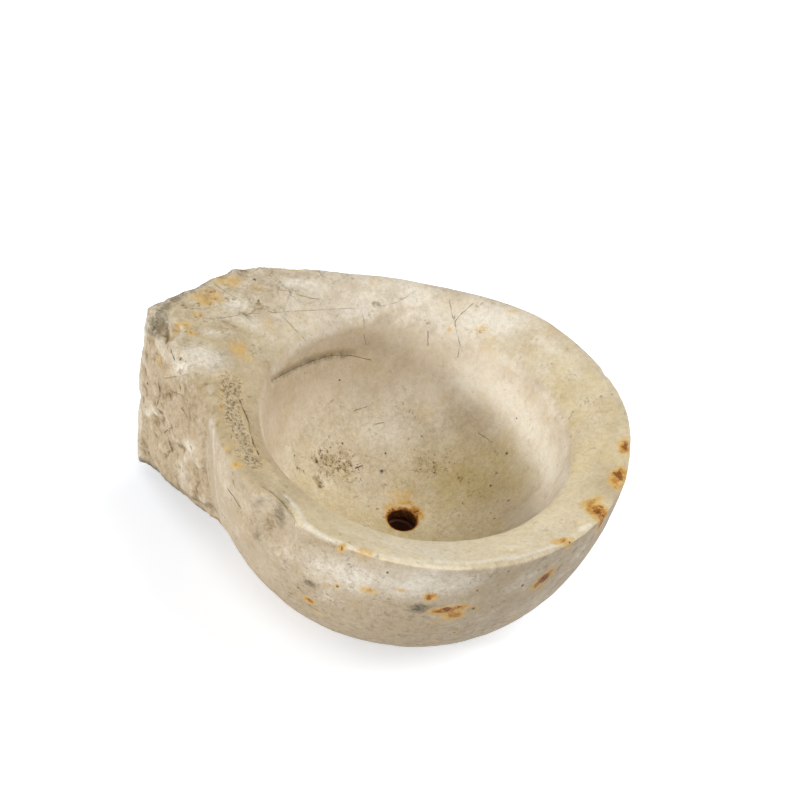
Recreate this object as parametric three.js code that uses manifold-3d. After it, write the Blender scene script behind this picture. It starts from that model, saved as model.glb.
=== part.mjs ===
// Holy water stoup, carved from one block of marble to be built into a wall.
//
// A round bowl with a broad dished rim runs back into a rough tail, the tenon that the masonry
// gripped. A drain leads through the bowl's floor: the hole in the stone opens below into a socket
// that holds a flanged iron waste pipe, run in with lead.
//
// Millimetres, +Z up. The rim is level, the tail points to +Y and the open side of the bowl to -Y.
// While the pieces are made, the bowl's axis is the Z axis and the rim's edge lies at height 0.
// At the end the stoup is moved so that its origin is in the middle of its outline, on the plane
// that the base stands on.

import * as THREE from 'three';
import { mergeVertices } from 'three/addons/utils/BufferGeometryUtils.js';
import Module from 'manifold-3d';

// Bowl
const RIM_RADIUS = 176; // outer edge of the rim, before it was worn round
const BOWL_RADIUS = 171; // sphere that the outside of the bowl follows
const BOWL_CENTRE_DEPTH = 34; // centre of that sphere below the rim's edge
const STOUP_HEIGHT = 182; // base to the rim's edge
const RIM_EDGE_ROUND = 6; // worn round along the rim's outer edge

// Basin
const LIP_RADIUS = 126; // mouth of the basin, where the dished rim ends
const LIP_DEPTH = 20; // mouth of the basin below the rim's edge
const LIP_ROUND = 10; // worn round between the rim and the basin wall
const BASIN_DEPTH = 132; // basin floor below the rim's edge

// Tail: each hewn face is a plane, given by its distance from the bowl's axis and its direction
const TAIL_LENGTH = 218; // bowl axis to the end of the tail, at the rim's height
const END_LEAN_DEG = 7.4; // the end leans in towards its foot
const LEFT_FLANK_OFFSET = 160;
const LEFT_FLANK_DEG = 165.5; // direction that the face looks in, turned from +X
const RIGHT_FLANK_OFFSET = 172;
const RIGHT_FLANK_DEG = 52.8;
const RIGHT_FLANK_BATTER_DEG = 19.3; // the face draws in towards its foot
const UNDERSIDE_DEPTH = 73; // plane of the underside below the rim's edge, at the bowl's axis
const UNDERSIDE_SLOPE_DEG = 23.8; // the underside falls towards the end of the tail
const TOP_FALL_DEG = 1; // the top falls away from the left flank
const ROOT_OFFSET = 86; // inner end of the tail, hidden inside the bowl's wall
const ROOT_DEG = 108.8;
const HEW_DEPTH = 6; // deepest tool mark on the flanks and the underside
const HEW_TOP_DEPTH = 2; // deepest hollow on the tail's top
const HEW_SPACING = 34; // distance between tool marks
const HEW_ACROSS = { stretch: 1, slant: 0.4, sway: 1.7, swayRate: 0.6 }; // row of marks along X
const HEW_ALONG = { stretch: 0.8, slant: -0.7, sway: 1.3, swayRate: 0.5 }; // row of marks along Y

// Drain, set a little off the bowl's axis
const DRAIN_X = 8;
const DRAIN_Y = -4;
const DRAIN_HOLE_DIAMETER = 24;
const DRAIN_LIP = 12; // stone between the basin floor and the pipe's socket
const PIPE_BORE = 21;
const PIPE_WALL = 4;
const PIPE_FLANGE_REACH = 4; // flange beyond the pipe's outside
const PIPE_FLANGE_THICKNESS = 5;
const PIPE_RECESS = 6; // lower end of the pipe above the base
const LEAD_WALL = 7.5; // lead between the pipe and the mouth of the socket
const LEAD_KEY = 2; // the socket widens upwards by this, which keys the lead in
const LEAD_RECESS = 4; // lower face of the lead above the base
const FIT_GAP = 0.3; // between pieces that touch

// Wear: the back of the rim and of the tail's top is worn down to a plane that falls outwards
const WORN_DEG = 35; // direction that the plane falls in, turned from +X
const WORN_START = 110; // distance from the bowl's axis where the wear begins
const WORN_SLOPE_DEG = 7;

// Breaks in the stone: scoops, each an ellipsoid with half lengths along, across and down
const SPALL_LENGTH = 44; // broken upper corner at the end of the left flank
const SPALL_WIDTH = 26;
const SPALL_DEPTH = 10;
const BREAK_DEG = 150; // crumbled stretch of the rim's edge beside the left flank
const BREAK_LENGTH = 46;
const BREAK_WIDTH = 16;
const BREAK_DEPTH = 5;
const CHIP_DEG = 184; // chip out of the rim's edge on the open side
const CHIP_LENGTH = 30;
const CHIP_WIDTH = 11;
const CHIP_DEPTH = 9;

// Facets
const ROUND_SIDES = 80;
const DRAIN_SIDES = 40;
const SPHERE_STEPS = 14;
const BASIN_STEPS = 14;
const EDGE_STEPS = 4;
const TAIL_GRID = [9, 8, 8];
const SCOOP_SIDES = [14, 8];
const MERGE_DISTANCE = 1e-4;
const CUT_MARGIN = 10; // cutters stand this far out of the stone

// Finishes
const MARBLE = { color: 0xd2c4ab, roughness: 0.7, metalness: 0 };
const RUSTED_IRON = { color: 0x5a3420, roughness: 0.85, metalness: 0.3 };
const LEAD = { color: 0x6c6f73, roughness: 0.6, metalness: 0.8 };

const rad = THREE.MathUtils.degToRad;
const wasm = await Module();
wasm.setup();

/** A closed geometry as a solid that can be joined and cut. */
function toSolid(geometry) {
  const bare = new THREE.BufferGeometry();
  bare.setAttribute('position', geometry.getAttribute('position').clone());
  bare.setIndex(geometry.index.clone());
  const merged = mergeVertices(bare, MERGE_DISTANCE);
  const corners = merged.index.array;
  const triangles = [];
  for (let i = 0; i < corners.length; i += 3) {
    const [a, b, c] = corners.slice(i, i + 3);
    if (a !== b && b !== c && c !== a) {
      triangles.push(a, b, c);
    }
  }
  const mesh = new wasm.Mesh({
    numProp: 3,
    vertProperties: merged.getAttribute('position').array,
    triVerts: new Uint32Array(triangles),
  });
  return new wasm.Manifold(mesh);
}

/** A solid as a geometry for a mesh. */
function toGeometry(solid) {
  const mesh = solid.getMesh();
  const geometry = new THREE.BufferGeometry();
  geometry.setAttribute('position', new THREE.BufferAttribute(mesh.vertProperties, 3));
  geometry.setIndex(new THREE.BufferAttribute(mesh.triVerts, 1));
  geometry.computeVertexNormals();
  return geometry;
}

/** Revolves a profile of [radius, height] points, listed anticlockwise, round the Z axis. */
function revolve(profile, sides) {
  const points = profile.map(([radius, height]) => new THREE.Vector2(radius, height));
  return new THREE.LatheGeometry(points, sides).rotateX(Math.PI / 2);
}

/** Points along a fillet of the given radius that rounds the corner b between a and c. */
function fillet(a, b, c, radius) {
  const corner = new THREE.Vector2(...b);
  const toA = new THREE.Vector2(...a).sub(corner).normalize();
  const toC = new THREE.Vector2(...c).sub(corner).normalize();
  const halfAngle = Math.acos(toA.dot(toC)) / 2;
  const setBack = radius / Math.tan(halfAngle);
  const start = corner.clone().addScaledVector(toA, setBack);
  const end = corner.clone().addScaledVector(toC, setBack);
  const curve = new THREE.QuadraticBezierCurve(start, corner, end);
  return curve.getPoints(EDGE_STEPS).map((point) => [point.x, point.y]);
}

/** Outside of the bowl as a full solid of revolution, up to the rim's edge. */
function bowlOutside() {
  const base = -STOUP_HEIGHT;
  const footAngle = Math.asin((base + BOWL_CENTRE_DEPTH) / BOWL_RADIUS);
  const profile = [[0, base]];
  for (let i = 0; i <= SPHERE_STEPS; i += 1) {
    const angle = footAngle * (1 - i / SPHERE_STEPS);
    const height = BOWL_RADIUS * Math.sin(angle) - BOWL_CENTRE_DEPTH;
    profile.push([BOWL_RADIUS * Math.cos(angle), height]);
  }
  const shoulder = profile.at(-1);
  profile.push(...fillet(shoulder, [RIM_RADIUS, 0], [0, 0], RIM_EDGE_ROUND), [0, 0]);
  return toSolid(revolve(profile, ROUND_SIDES));
}

/** Height of the dished rim at a radius: a straight slope from the rim's edge down to the lip. */
function dishHeight(radius) {
  const crest = RIM_RADIUS - RIM_EDGE_ROUND / 2;
  return (-LIP_DEPTH * (crest - radius)) / (crest - LIP_RADIUS);
}

/** What is cut out of the block: the round basin and the dish of the rim above it. */
function hollow() {
  const basin = [];
  for (let i = 0; i < BASIN_STEPS; i += 1) {
    const angle = ((i / BASIN_STEPS) * Math.PI) / 2;
    const height = -LIP_DEPTH - (BASIN_DEPTH - LIP_DEPTH) * Math.cos(angle);
    basin.push([LIP_RADIUS * Math.sin(angle), height]);
  }
  const outerRadius = RIM_RADIUS + CUT_MARGIN;
  const outer = [outerRadius, dishHeight(outerRadius)];
  const lip = fillet(basin.at(-1), [LIP_RADIUS, -LIP_DEPTH], outer, LIP_ROUND);
  const profile = [...basin, ...lip, outer, [outerRadius, BASIN_DEPTH], [0, BASIN_DEPTH]];
  return toSolid(revolve(profile, ROUND_SIDES));
}

/** A plane that looks along a direction in plan, leaning out (positive) or in as it rises. */
function hewnPlane(directionDeg, offset, leanDeg) {
  const direction = rad(directionDeg);
  const normal = new THREE.Vector3(Math.cos(direction), Math.sin(direction), -Math.tan(rad(leanDeg)));
  return { normal, offset };
}

/** The point that three planes share. */
function meet(p, q, r) {
  const qr = q.normal.clone().cross(r.normal);
  const rp = r.normal.clone().cross(p.normal);
  const pq = p.normal.clone().cross(q.normal);
  const volume = p.normal.dot(qr);
  const sum = qr.multiplyScalar(p.offset).addScaledVector(rp, q.offset).addScaledVector(pq, r.offset);
  return sum.divideScalar(volume);
}

/** A row of tool marks, from -1 to 1: waves that slant with the height and sway sideways. */
function hewRow(along, sideways, height, row) {
  const step = (2 * Math.PI) / HEW_SPACING;
  const sway = row.sway * Math.sin(row.swayRate * step * sideways);
  return Math.sin(step * (row.stretch * along + row.slant * height) + sway);
}

/** Depth of the tool marks at a point, from 0 to 1: the middle of two crossed rows. */
function toolMark({ x, y, z }) {
  const rows = hewRow(x, y, z, HEW_ACROSS) + hewRow(y, x, z, HEW_ALONG);
  return (2 + rows) / 4;
}

/** The rough tail: a block lofted from its inner end to its outer end, with tool marks. */
function tail() {
  const leftFlank = hewnPlane(LEFT_FLANK_DEG, LEFT_FLANK_OFFSET, 0);
  const rightFlank = hewnPlane(RIGHT_FLANK_DEG, RIGHT_FLANK_OFFSET, RIGHT_FLANK_BATTER_DEG);
  const end = hewnPlane(90, TAIL_LENGTH, END_LEAN_DEG);
  const root = hewnPlane(ROOT_DEG, ROOT_OFFSET, 0);
  const fall = Math.tan(rad(TOP_FALL_DEG));
  const top = {
    normal: leftFlank.normal.clone().multiplyScalar(-fall).setZ(1),
    offset: -fall * LEFT_FLANK_OFFSET,
  };
  const underside = {
    normal: new THREE.Vector3(0, Math.tan(rad(UNDERSIDE_SLOPE_DEG)), 1),
    offset: -UNDERSIDE_DEPTH,
  };
  const corner = (i, j, k) => meet(i ? rightFlank : leftFlank, j ? end : root, k ? top : underside);
  const cornerShare = (i, j, k, u, v, w) => corner(i, j, k).multiplyScalar(
    (i ? u : 1 - u) * (j ? v : 1 - v) * (k ? w : 1 - w),
  );
  const spread = [corner(0, 0, 0), corner(1, 1, 1), corner(0, 1, 0), corner(1, 0, 1)];
  const core = new THREE.Vector3();
  spread.forEach((point) => core.addScaledVector(point, 1 / spread.length));

  const block = new THREE.BoxGeometry(1, 1, 1, ...TAIL_GRID);
  const place = block.getAttribute('position');
  const half = 0.5;
  for (let n = 0; n < place.count; n += 1) {
    const [u, v, w] = [place.getX(n) + half, place.getY(n) + half, place.getZ(n) + half];
    const point = new THREE.Vector3();
    for (const i of [0, 1]) {
      for (const j of [0, 1]) {
        for (const k of [0, 1]) {
          point.add(cornerShare(i, j, k, u, v, w));
        }
      }
    }
    const onEnd = v > 1 - MERGE_DISTANCE;
    const onTop = w > 1 - MERGE_DISTANCE;
    if (!onEnd) {
      const depth = (onTop ? HEW_TOP_DEPTH : HEW_DEPTH) * toolMark(point);
      point.addScaledVector(core.clone().sub(point).normalize(), depth);
    }
    place.setXYZ(n, point.x, point.y, point.z);
  }
  return { solid: toSolid(block), leftTop: corner(0, 1, 1) };
}

/** An ellipsoid cutter with its half lengths along X, Y and Z, turned round Z and put in place. */
function scoop(length, width, depth, turnDeg, x, y, z) {
  const geometry = new THREE.SphereGeometry(1, ...SCOOP_SIDES);
  geometry.rotateX(Math.PI / 2);
  geometry.scale(length, width, depth);
  geometry.rotateZ(rad(turnDeg));
  geometry.translate(x, y, z);
  return toSolid(geometry);
}

/** The wedge above the worn plane, which falls outwards from its start over the back of the rim. */
function wornWedge() {
  const size = 2 * (RIM_RADIUS + TAIL_LENGTH);
  const geometry = new THREE.BoxGeometry(size, size, size);
  geometry.translate(size / 2, 0, size / 2);
  geometry.rotateY(rad(WORN_SLOPE_DEG));
  geometry.translate(WORN_START, 0, 0);
  geometry.rotateZ(rad(WORN_DEG));
  return toSolid(geometry);
}

/** A scoop that lies along the rim's edge at an angle round the bowl. */
function rimScoop(angleDeg, length, width, depth) {
  const angle = rad(angleDeg);
  const x = RIM_RADIUS * Math.cos(angle);
  const y = RIM_RADIUS * Math.sin(angle);
  return scoop(length, width, depth, angleDeg + 90, x, y, 0);
}

const socketTop = -BASIN_DEPTH - DRAIN_LIP;
const pipeRadius = PIPE_BORE / 2 + PIPE_WALL;
const socketMouthRadius = pipeRadius + LEAD_WALL + 2 * FIT_GAP;
const socketTopRadius = socketMouthRadius + LEAD_KEY;

/** Radius of the pipe's socket at a height between the base and the stone lip. */
function socketRadius(height) {
  const share = (height + STOUP_HEIGHT) / (socketTop + STOUP_HEIGHT);
  return THREE.MathUtils.lerp(socketMouthRadius, socketTopRadius, share);
}

/** The drain's hole in the stone lip and the keyed socket under it. */
function drainCut() {
  const below = -STOUP_HEIGHT - CUT_MARGIN;
  const above = -BASIN_DEPTH + CUT_MARGIN;
  const hole = DRAIN_HOLE_DIAMETER / 2;
  const profile = [
    [0, below],
    [socketMouthRadius, below],
    [socketMouthRadius, -STOUP_HEIGHT],
    [socketTopRadius, socketTop],
    [hole, socketTop],
    [hole, above],
    [0, above],
  ];
  return toSolid(revolve(profile, DRAIN_SIDES).translate(DRAIN_X, DRAIN_Y, 0));
}

/** The carved block: bowl and tail are one stone, so they are joined before the cuts. */
function stoneBlock() {
  const hewnTail = tail();
  const { x, y, z } = hewnTail.leftTop;
  const spall = scoop(SPALL_LENGTH, SPALL_WIDTH, SPALL_DEPTH, LEFT_FLANK_DEG - 90, x, y, z);
  const crumbled = rimScoop(BREAK_DEG, BREAK_LENGTH, BREAK_WIDTH, BREAK_DEPTH);
  const chip = rimScoop(CHIP_DEG, CHIP_LENGTH, CHIP_WIDTH, CHIP_DEPTH);
  const block = bowlOutside().add(hewnTail.solid);
  const cuts = [hollow(), drainCut(), wornWedge(), spall, crumbled, chip];
  return toGeometry(cuts.reduce((stone, cut) => stone.subtract(cut), block));
}

/** Flanged iron pipe, with its flange under the stone lip. */
function drainPipe() {
  const bore = PIPE_BORE / 2;
  const top = socketTop - FIT_GAP;
  const flangeFoot = top - PIPE_FLANGE_THICKNESS;
  const foot = -STOUP_HEIGHT + PIPE_RECESS;
  const flangeRadius = pipeRadius + PIPE_FLANGE_REACH;
  const profile = [
    [bore, foot],
    [pipeRadius, foot],
    [pipeRadius, flangeFoot],
    [flangeRadius, flangeFoot],
    [flangeRadius, top],
    [bore, top],
    [bore, foot],
  ];
  return revolve(profile, DRAIN_SIDES).translate(DRAIN_X, DRAIN_Y, 0);
}

/** Lead run in round the pipe, filling the socket from the stone lip down. */
function leadSeal() {
  const top = socketTop - FIT_GAP;
  const flangeFoot = socketTop - PIPE_FLANGE_THICKNESS - 2 * FIT_GAP;
  const foot = -STOUP_HEIGHT + LEAD_RECESS;
  const aroundPipe = pipeRadius + FIT_GAP;
  const aroundFlange = aroundPipe + PIPE_FLANGE_REACH;
  const profile = [
    [aroundPipe, foot],
    [socketRadius(foot) - FIT_GAP, foot],
    [socketRadius(top) - FIT_GAP, top],
    [aroundFlange, top],
    [aroundFlange, flangeFoot],
    [aroundPipe, flangeFoot],
    [aroundPipe, foot],
  ];
  return revolve(profile, DRAIN_SIDES).translate(DRAIN_X, DRAIN_Y, 0);
}

/** A named piece of the stoup with its own finish. */
function piece(name, geometry, finish) {
  const mesh = new THREE.Mesh(geometry, new THREE.MeshStandardMaterial(finish));
  mesh.name = name;
  return mesh;
}

const stoup = new THREE.Group();
stoup.add(
  piece('stone_block', stoneBlock(), MARBLE),
  piece('drain_pipe', drainPipe(), RUSTED_IRON),
  piece('lead_seal', leadSeal(), LEAD),
);

const outline = new THREE.Box3().setFromObject(stoup);
const middle = outline.getCenter(new THREE.Vector3());
stoup.position.set(-middle.x, -middle.y, -outline.min.z);

export default stoup;
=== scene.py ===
"""Looks of a holy water stoup: a marble bowl that runs back into a rough tail, with its drain.

The stone is one closed surface carried round the bowl's axis. Sizes are millimetres, measured from
that axis and from the height of the rim's edge, and a mesh is moved to the frame's metres as it is
written. Marks of wear and stain, and some painted shade and highlights, are placed by the pixel at
which the photograph shows them.
"""

import logging
from dataclasses import dataclass, field
from enum import Enum
from itertools import product

import bpy
import numpy as np
from mathutils import Matrix, Vector
from mathutils.bvhtree import BVHTree


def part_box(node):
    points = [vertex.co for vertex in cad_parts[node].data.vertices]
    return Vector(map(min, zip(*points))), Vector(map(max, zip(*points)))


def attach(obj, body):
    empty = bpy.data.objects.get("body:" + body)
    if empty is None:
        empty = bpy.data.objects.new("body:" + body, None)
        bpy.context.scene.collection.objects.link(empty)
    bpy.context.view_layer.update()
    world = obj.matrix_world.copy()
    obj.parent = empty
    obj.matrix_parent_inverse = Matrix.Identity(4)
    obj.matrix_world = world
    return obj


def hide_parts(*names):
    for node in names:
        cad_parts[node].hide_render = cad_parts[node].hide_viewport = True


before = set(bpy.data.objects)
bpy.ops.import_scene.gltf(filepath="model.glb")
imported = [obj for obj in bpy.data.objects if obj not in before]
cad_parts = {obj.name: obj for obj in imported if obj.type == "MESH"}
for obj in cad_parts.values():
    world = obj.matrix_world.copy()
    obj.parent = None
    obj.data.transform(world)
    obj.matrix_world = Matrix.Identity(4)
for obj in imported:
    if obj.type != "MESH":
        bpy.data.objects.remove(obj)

LOG = logging.getLogger("stoup")
MM = 0.001
FAR = 1e4

Pixel = tuple[float, float]


def unit(vector: np.ndarray) -> np.ndarray:
    """A vector, or each vector of an array, at length 1."""
    return vector / np.maximum(np.linalg.norm(vector, axis=-1, keepdims=True), 1e-9)


def ramp(value: np.ndarray, start: float, end: float) -> np.ndarray:
    """A smooth step from 0 at start to 1 at end: 3t^2 - 2t^3 of the share t of the way."""
    share = np.clip((value - start) / (end - start), 0.0, 1.0)
    return share * share * (3.0 - 2.0 * share)


def smooth_min(a: np.ndarray, b: np.ndarray, reach: float) -> np.ndarray:
    """The lesser of two surfaces, with the edge where they meet rounded off over a reach."""
    near = np.clip(1.0 - np.abs(a - b) / reach, 0.0, None)
    return np.minimum(a, b) - reach * near**2 / 4.0


def plane_reach(bearing: np.ndarray, facing: float, offset: np.ndarray | float) -> np.ndarray:
    """Distance along each bearing to an upright plane: its offset over the cosine between the two.

    Args:
        bearing: directions round the axis, in radians.
        facing: direction that the plane looks in, in degrees.
        offset: the plane's distance from the axis.

    Returns:
        The distances, far away where the plane looks the other way.
    """
    along = np.cos(bearing - np.radians(facing))
    return np.where(along > 0.05, offset / np.maximum(along, 0.05), FAR)


def lattice(cell: np.ndarray, seed: int) -> np.ndarray:
    """A random number from 0 to 1 for each integer cell, mixed from its three numbers and a seed."""
    primes = np.array([73856093, 19349663, 83492791], dtype=np.int64)
    mixed = (cell.astype(np.int64) * primes).sum(-1) + seed * 2654435761
    mixed = mixed.astype(np.uint64)
    for shift, factor in ((15, 2246822519), (13, 3266489917)):
        mixed = ((mixed ^ (mixed >> np.uint64(shift))) * np.uint64(factor)) & np.uint64(0xFFFFFFFF)
    return (mixed ^ (mixed >> np.uint64(16))) / 2.0**32


def hills(points: np.ndarray, size: float, seed: int) -> np.ndarray:
    """Soft random hills from -1 to 1: lattice values blended by smooth steps across each cell.

    Args:
        points: places, in mm.
        size: width of a cell, in mm.
        seed: which hills.

    Returns:
        The height at each place.
    """
    place = points / size
    cell = np.floor(place)
    part = place - cell
    part = part * part * (3.0 - 2.0 * part)
    total = np.zeros(points.shape[:-1])
    for corner in product((0, 1), repeat=3):
        share = np.where(corner, part, 1.0 - part).prod(-1)
        total += share * lattice(cell + corner, seed)
    return 2.0 * total - 1.0


def cloud(points: np.ndarray, size: float, seed: int, octaves: int = 3) -> np.ndarray:
    """Hills of several sizes from -1 to 1, each octave half as wide and half as high as the last."""
    layers = [hills(points, size / 2**i, seed + i) / 2**i for i in range(octaves)]
    return sum(layers) / sum(0.5**i for i in range(octaves))


def facets(points: np.ndarray, size: float, seed: int, crisp: float = 10.0) -> np.ndarray:
    """Flat chips of random tilt, as a point chisel leaves them, from about -1 to 1.

    Every cell seats one random point that carries a tilted plane. The height is the mean of the
    planes near a place, each weighted by exp(-crisp * distance^2) to its seat.

    Args:
        points: places, in mm.
        size: width of a cell, in mm.
        seed: which chips.
        crisp: how sharply one chip gives way to the next.

    Returns:
        The height at each place.
    """
    place = points / size
    cell = np.floor(place)
    weights = np.zeros(points.shape[:-1])
    heights = np.zeros(points.shape[:-1])
    for step in product((-1, 0, 1), repeat=3):
        near = cell + step
        seat = near + np.stack([lattice(near, seed + k) for k in range(3)], -1)
        tilt = np.stack([lattice(near, seed + 3 + k) for k in range(3)], -1) - 0.5
        away = place - seat
        weight = np.exp(-crisp * (away**2).sum(-1))
        weights += weight
        heights += weight * ((away * tilt).sum(-1) * 2.0 + lattice(near, seed + 6) - 0.5)
    return heights / np.maximum(weights, 1e-12)


@dataclass(frozen=True)
class PhotoCamera:
    """The photograph's camera, placed about the middle of the bowl's round outside.

    The stoup stands level in the frame and leans in the photograph, so the lean is the camera's roll.
    """

    azimuth: float = -55.0  # degrees
    elevation: float = 42.6
    roll: float = 14.5
    distance: float = 2100.0
    focal: float = 2547.6  # px
    picture: float = 800.0  # px, each side
    middle_px: Pixel = (413.1, 438.5)  # where the bowl's middle is seen
    middle_depth: float = 34.3  # that middle below the rim
    sensor: float = 36.0

    def towards(self) -> np.ndarray:
        """Direction from the bowl's middle to the camera."""
        turn, rise = np.radians([self.azimuth, self.elevation])
        return np.array([np.sin(turn) * np.cos(rise), -np.cos(turn) * np.cos(rise), np.sin(rise)])

    def axes(self) -> tuple[np.ndarray, np.ndarray, np.ndarray]:
        """The camera's right, up and back directions, rolled and aimed.

        Returns:
            Three directions at right angles, swung so that the bowl's middle falls on its pixel.
        """
        turn, roll = np.radians([self.azimuth, self.roll])
        back = self.towards()
        level = np.array([np.cos(turn), np.sin(turn), 0.0])
        right = level * np.cos(roll) + np.cross(back, level) * np.sin(roll)
        up = np.cross(back, right)
        across, down = self.slope(np.array([self.middle_px]))[0]
        back = unit(back + right * across - up * down)
        right = unit(np.cross(up, back))
        return right, np.cross(back, right), back

    def slope(self, pixels: np.ndarray) -> np.ndarray:
        """How far pixels lie right of and below the picture's middle, in focal lengths."""
        return (pixels - (self.picture - 1.0) / 2.0) / self.focal

    def stand(self) -> np.ndarray:
        """Where the camera stands, in mm from the axis and the rim."""
        return self.towards() * self.distance - np.array([0.0, 0.0, self.middle_depth])

    def spot(self, surface: BVHTree, pixels: tuple[Pixel, ...]) -> tuple[np.ndarray, np.ndarray]:
        """The places on the stone that are seen at some pixels.

        Args:
            surface: the stone's faces.
            pixels: places in the photograph.

        Returns:
            Points and outward directions. A pixel just off the stone takes the nearest point.
        """
        right, up, back = self.axes()
        slopes = self.slope(np.array(pixels, float))
        rays = unit(slopes[:, :1] * right - slopes[:, 1:] * up - back)
        origin = self.stand()
        found = []
        for ray in rays:
            point, normal, _, _ = surface.ray_cast(Vector(origin), Vector(ray))
            if point is None:
                along = [origin + ray * self.distance * share for share in np.linspace(0.9, 1.1, 41)]
                point, normal, _, _ = min((surface.find_nearest(Vector(p)) for p in along), key=lambda hit: hit[3])
            found.append((*point, *normal))
        table = np.array(found)
        return table[:, :3], table[:, 3:]

    def trail(self, surface: BVHTree, pixels: tuple[Pixel, ...]) -> np.ndarray:
        """The line on the stone that is seen through some pixels, followed in steps of about 12 px."""
        corners = np.array(pixels, float)
        reached = np.concatenate([[0.0], np.cumsum(np.linalg.norm(np.diff(corners, axis=0), axis=1))])
        wanted = np.linspace(0.0, reached[-1], 1 + int(np.ceil(reached[-1] / 12.0)))
        steps = np.stack([np.interp(wanted, reached, corners[:, k]) for k in (0, 1)], -1)
        return self.spot(surface, steps)[0]

    def place(self, shift: np.ndarray) -> None:
        """Makes the scene's camera.

        Args:
            shift: the bowl's axis and rim in the frame, in mm.
        """
        data = bpy.data.cameras.new("photo_camera")
        data.sensor_width = self.sensor
        data.lens = self.focal * self.sensor / self.picture
        data.clip_end = 100.0
        camera = bpy.data.objects.new("photo_camera", data)
        right, up, back = self.axes()
        turned = Matrix(np.stack([right, up, back], 1).tolist()).to_4x4()
        camera.matrix_world = Matrix.Translation(Vector((self.stand() + shift) * MM)) @ turned
        bpy.context.scene.collection.objects.link(camera)
        bpy.context.scene.camera = camera


def grid_faces(rows: int, columns: int, closed: bool) -> np.ndarray:
    """Quads of a grid that closes on itself round its rows and, if asked, along its columns.

    Args:
        rows: steps round.
        columns: steps along.
        closed: whether the last column meets the first.

    Returns:
        Four vertex numbers for each face, so that outward is along crossed with round.
    """
    i = np.arange(rows)[:, None]
    j = np.arange(columns if closed else columns - 1)[None, :]
    i_next, j_next = (i + 1) % rows, (j + 1) % columns
    corners = [i * columns + j, i * columns + j_next, i_next * columns + j_next, i_next * columns + j]
    return np.stack(np.broadcast_arrays(*corners), -1).reshape(-1, 4)


def grid_piece(name: str, grid: np.ndarray, shift: np.ndarray) -> bpy.types.Object:
    """A piece made of one closed grid of points, with smooth faces.

    Args:
        name: the piece's name.
        grid: points in mm, round by along.
        shift: what moves them into the frame, in mm.

    Returns:
        The object, at the origin, with its place in its mesh.
    """
    rows, columns = grid.shape[:2]
    mesh = bpy.data.meshes.new(name)
    points = ((grid.reshape(-1, 3) + shift) * MM).tolist()
    mesh.from_pydata(points, [], grid_faces(rows, columns, closed=True).tolist())
    mesh.polygons.foreach_set("use_smooth", np.ones(len(mesh.polygons), dtype=bool))
    mesh.update()
    made = bpy.data.objects.new(name, mesh)
    bpy.context.scene.collection.objects.link(made)
    return made


def grid_normals(grid: np.ndarray) -> np.ndarray:
    """Outward directions of a closed grid: the step along crossed with the step round."""
    round_step = np.roll(grid, -1, 0) - np.roll(grid, 1, 0)
    along_step = np.roll(grid, -1, 1) - np.roll(grid, 1, 1)
    return unit(np.cross(along_step, round_step))


def wear_round(grid: np.ndarray, passes: int, share: np.ndarray) -> np.ndarray:
    """Wears edges round: each pass moves a point part of the way to the mean of its neighbours.

    Args:
        grid: points, round by along.
        passes: how often.
        share: how much of the wear each point takes, from 0 to 1.

    Returns:
        The worn points.
    """
    for _ in range(passes):
        mean = sum(np.roll(grid, step, axis) for step in (1, -1) for axis in (0, 1)) / 4.0
        grid = grid + share[..., None] * (mean - grid) / 2.0
    return grid


def stone_tree(grid: np.ndarray) -> BVHTree:
    """The faces of a closed grid, ready to be looked up."""
    rows, columns = grid.shape[:2]
    faces = grid_faces(rows, columns, closed=True).tolist()
    return BVHTree.FromPolygons(grid.reshape(-1, 3).tolist(), faces)


def line_way(points: np.ndarray, line: np.ndarray) -> np.ndarray:
    """The way from each point to the nearest place on a chain of straight stretches.

    Args:
        points: places, in mm.
        line: the chain's corners, in mm. A single corner is a chain of no length.

    Returns:
        The vector from each point to its nearest place on the chain.
    """
    way = line[0] - points
    for start, end in zip(line[:-1], line[1:]):
        along = end - start
        share = np.clip((points - start) @ along / max(along @ along, 1e-9), 0.0, 1.0)
        new = start + share[..., None] * along - points
        nearer = (new**2).sum(-1) < (way**2).sum(-1)
        way = np.where(nearer[..., None], new, way)
    return way


def line_gap(points: np.ndarray, line: np.ndarray) -> np.ndarray:
    """Distance of each point from a chain of straight stretches."""
    return np.linalg.norm(line_way(points, line), axis=-1)


@dataclass(frozen=True)
class Break:
    """A piece broken out of the stone, which leaves a rough hollow like part of an ellipsoid."""

    middle: tuple[float, float, float]
    half: tuple[float, float, float]  # half sizes along, across and down
    turn: float  # degrees, of its length from +X
    inward: tuple[float, float, float]  # the way the surface gives
    rough: float = 0.25
    seed: int = 5

    def take(self, grid: np.ndarray) -> tuple[np.ndarray, np.ndarray]:
        """Pushes the points inside the ellipsoid along inward to its far side.

        With q the place and d the push, both in half sizes, the way to go is the larger root t of
        |q + t d| = 1. Noise swells and shrinks the ellipsoid, and the push fades in at its edge.

        Args:
            grid: points, in mm.

        Returns:
            The points after the break, and how much of each lies in it, from 0 to 1.
        """
        turn = np.radians(self.turn)
        ways = np.array([[np.cos(turn), np.sin(turn), 0.0], [-np.sin(turn), np.cos(turn), 0.0], [0.0, 0.0, 1.0]])
        half = np.array(self.half)
        place = (grid - np.array(self.middle)) @ ways.T / half
        place = place * (1.0 + self.rough * cloud(grid, half.mean(), self.seed))[..., None]
        way = unit(np.array(self.inward, float))
        push = ways @ way / half
        along, square = place @ push, push @ push
        inside = 1.0 - (place**2).sum(-1)
        travel = (np.sqrt(np.maximum(along**2 + square * inside, 0.0)) - along) / square
        share = ramp(inside, 0.0, 0.3)
        return grid + (travel * share)[..., None] * way, share


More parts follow.
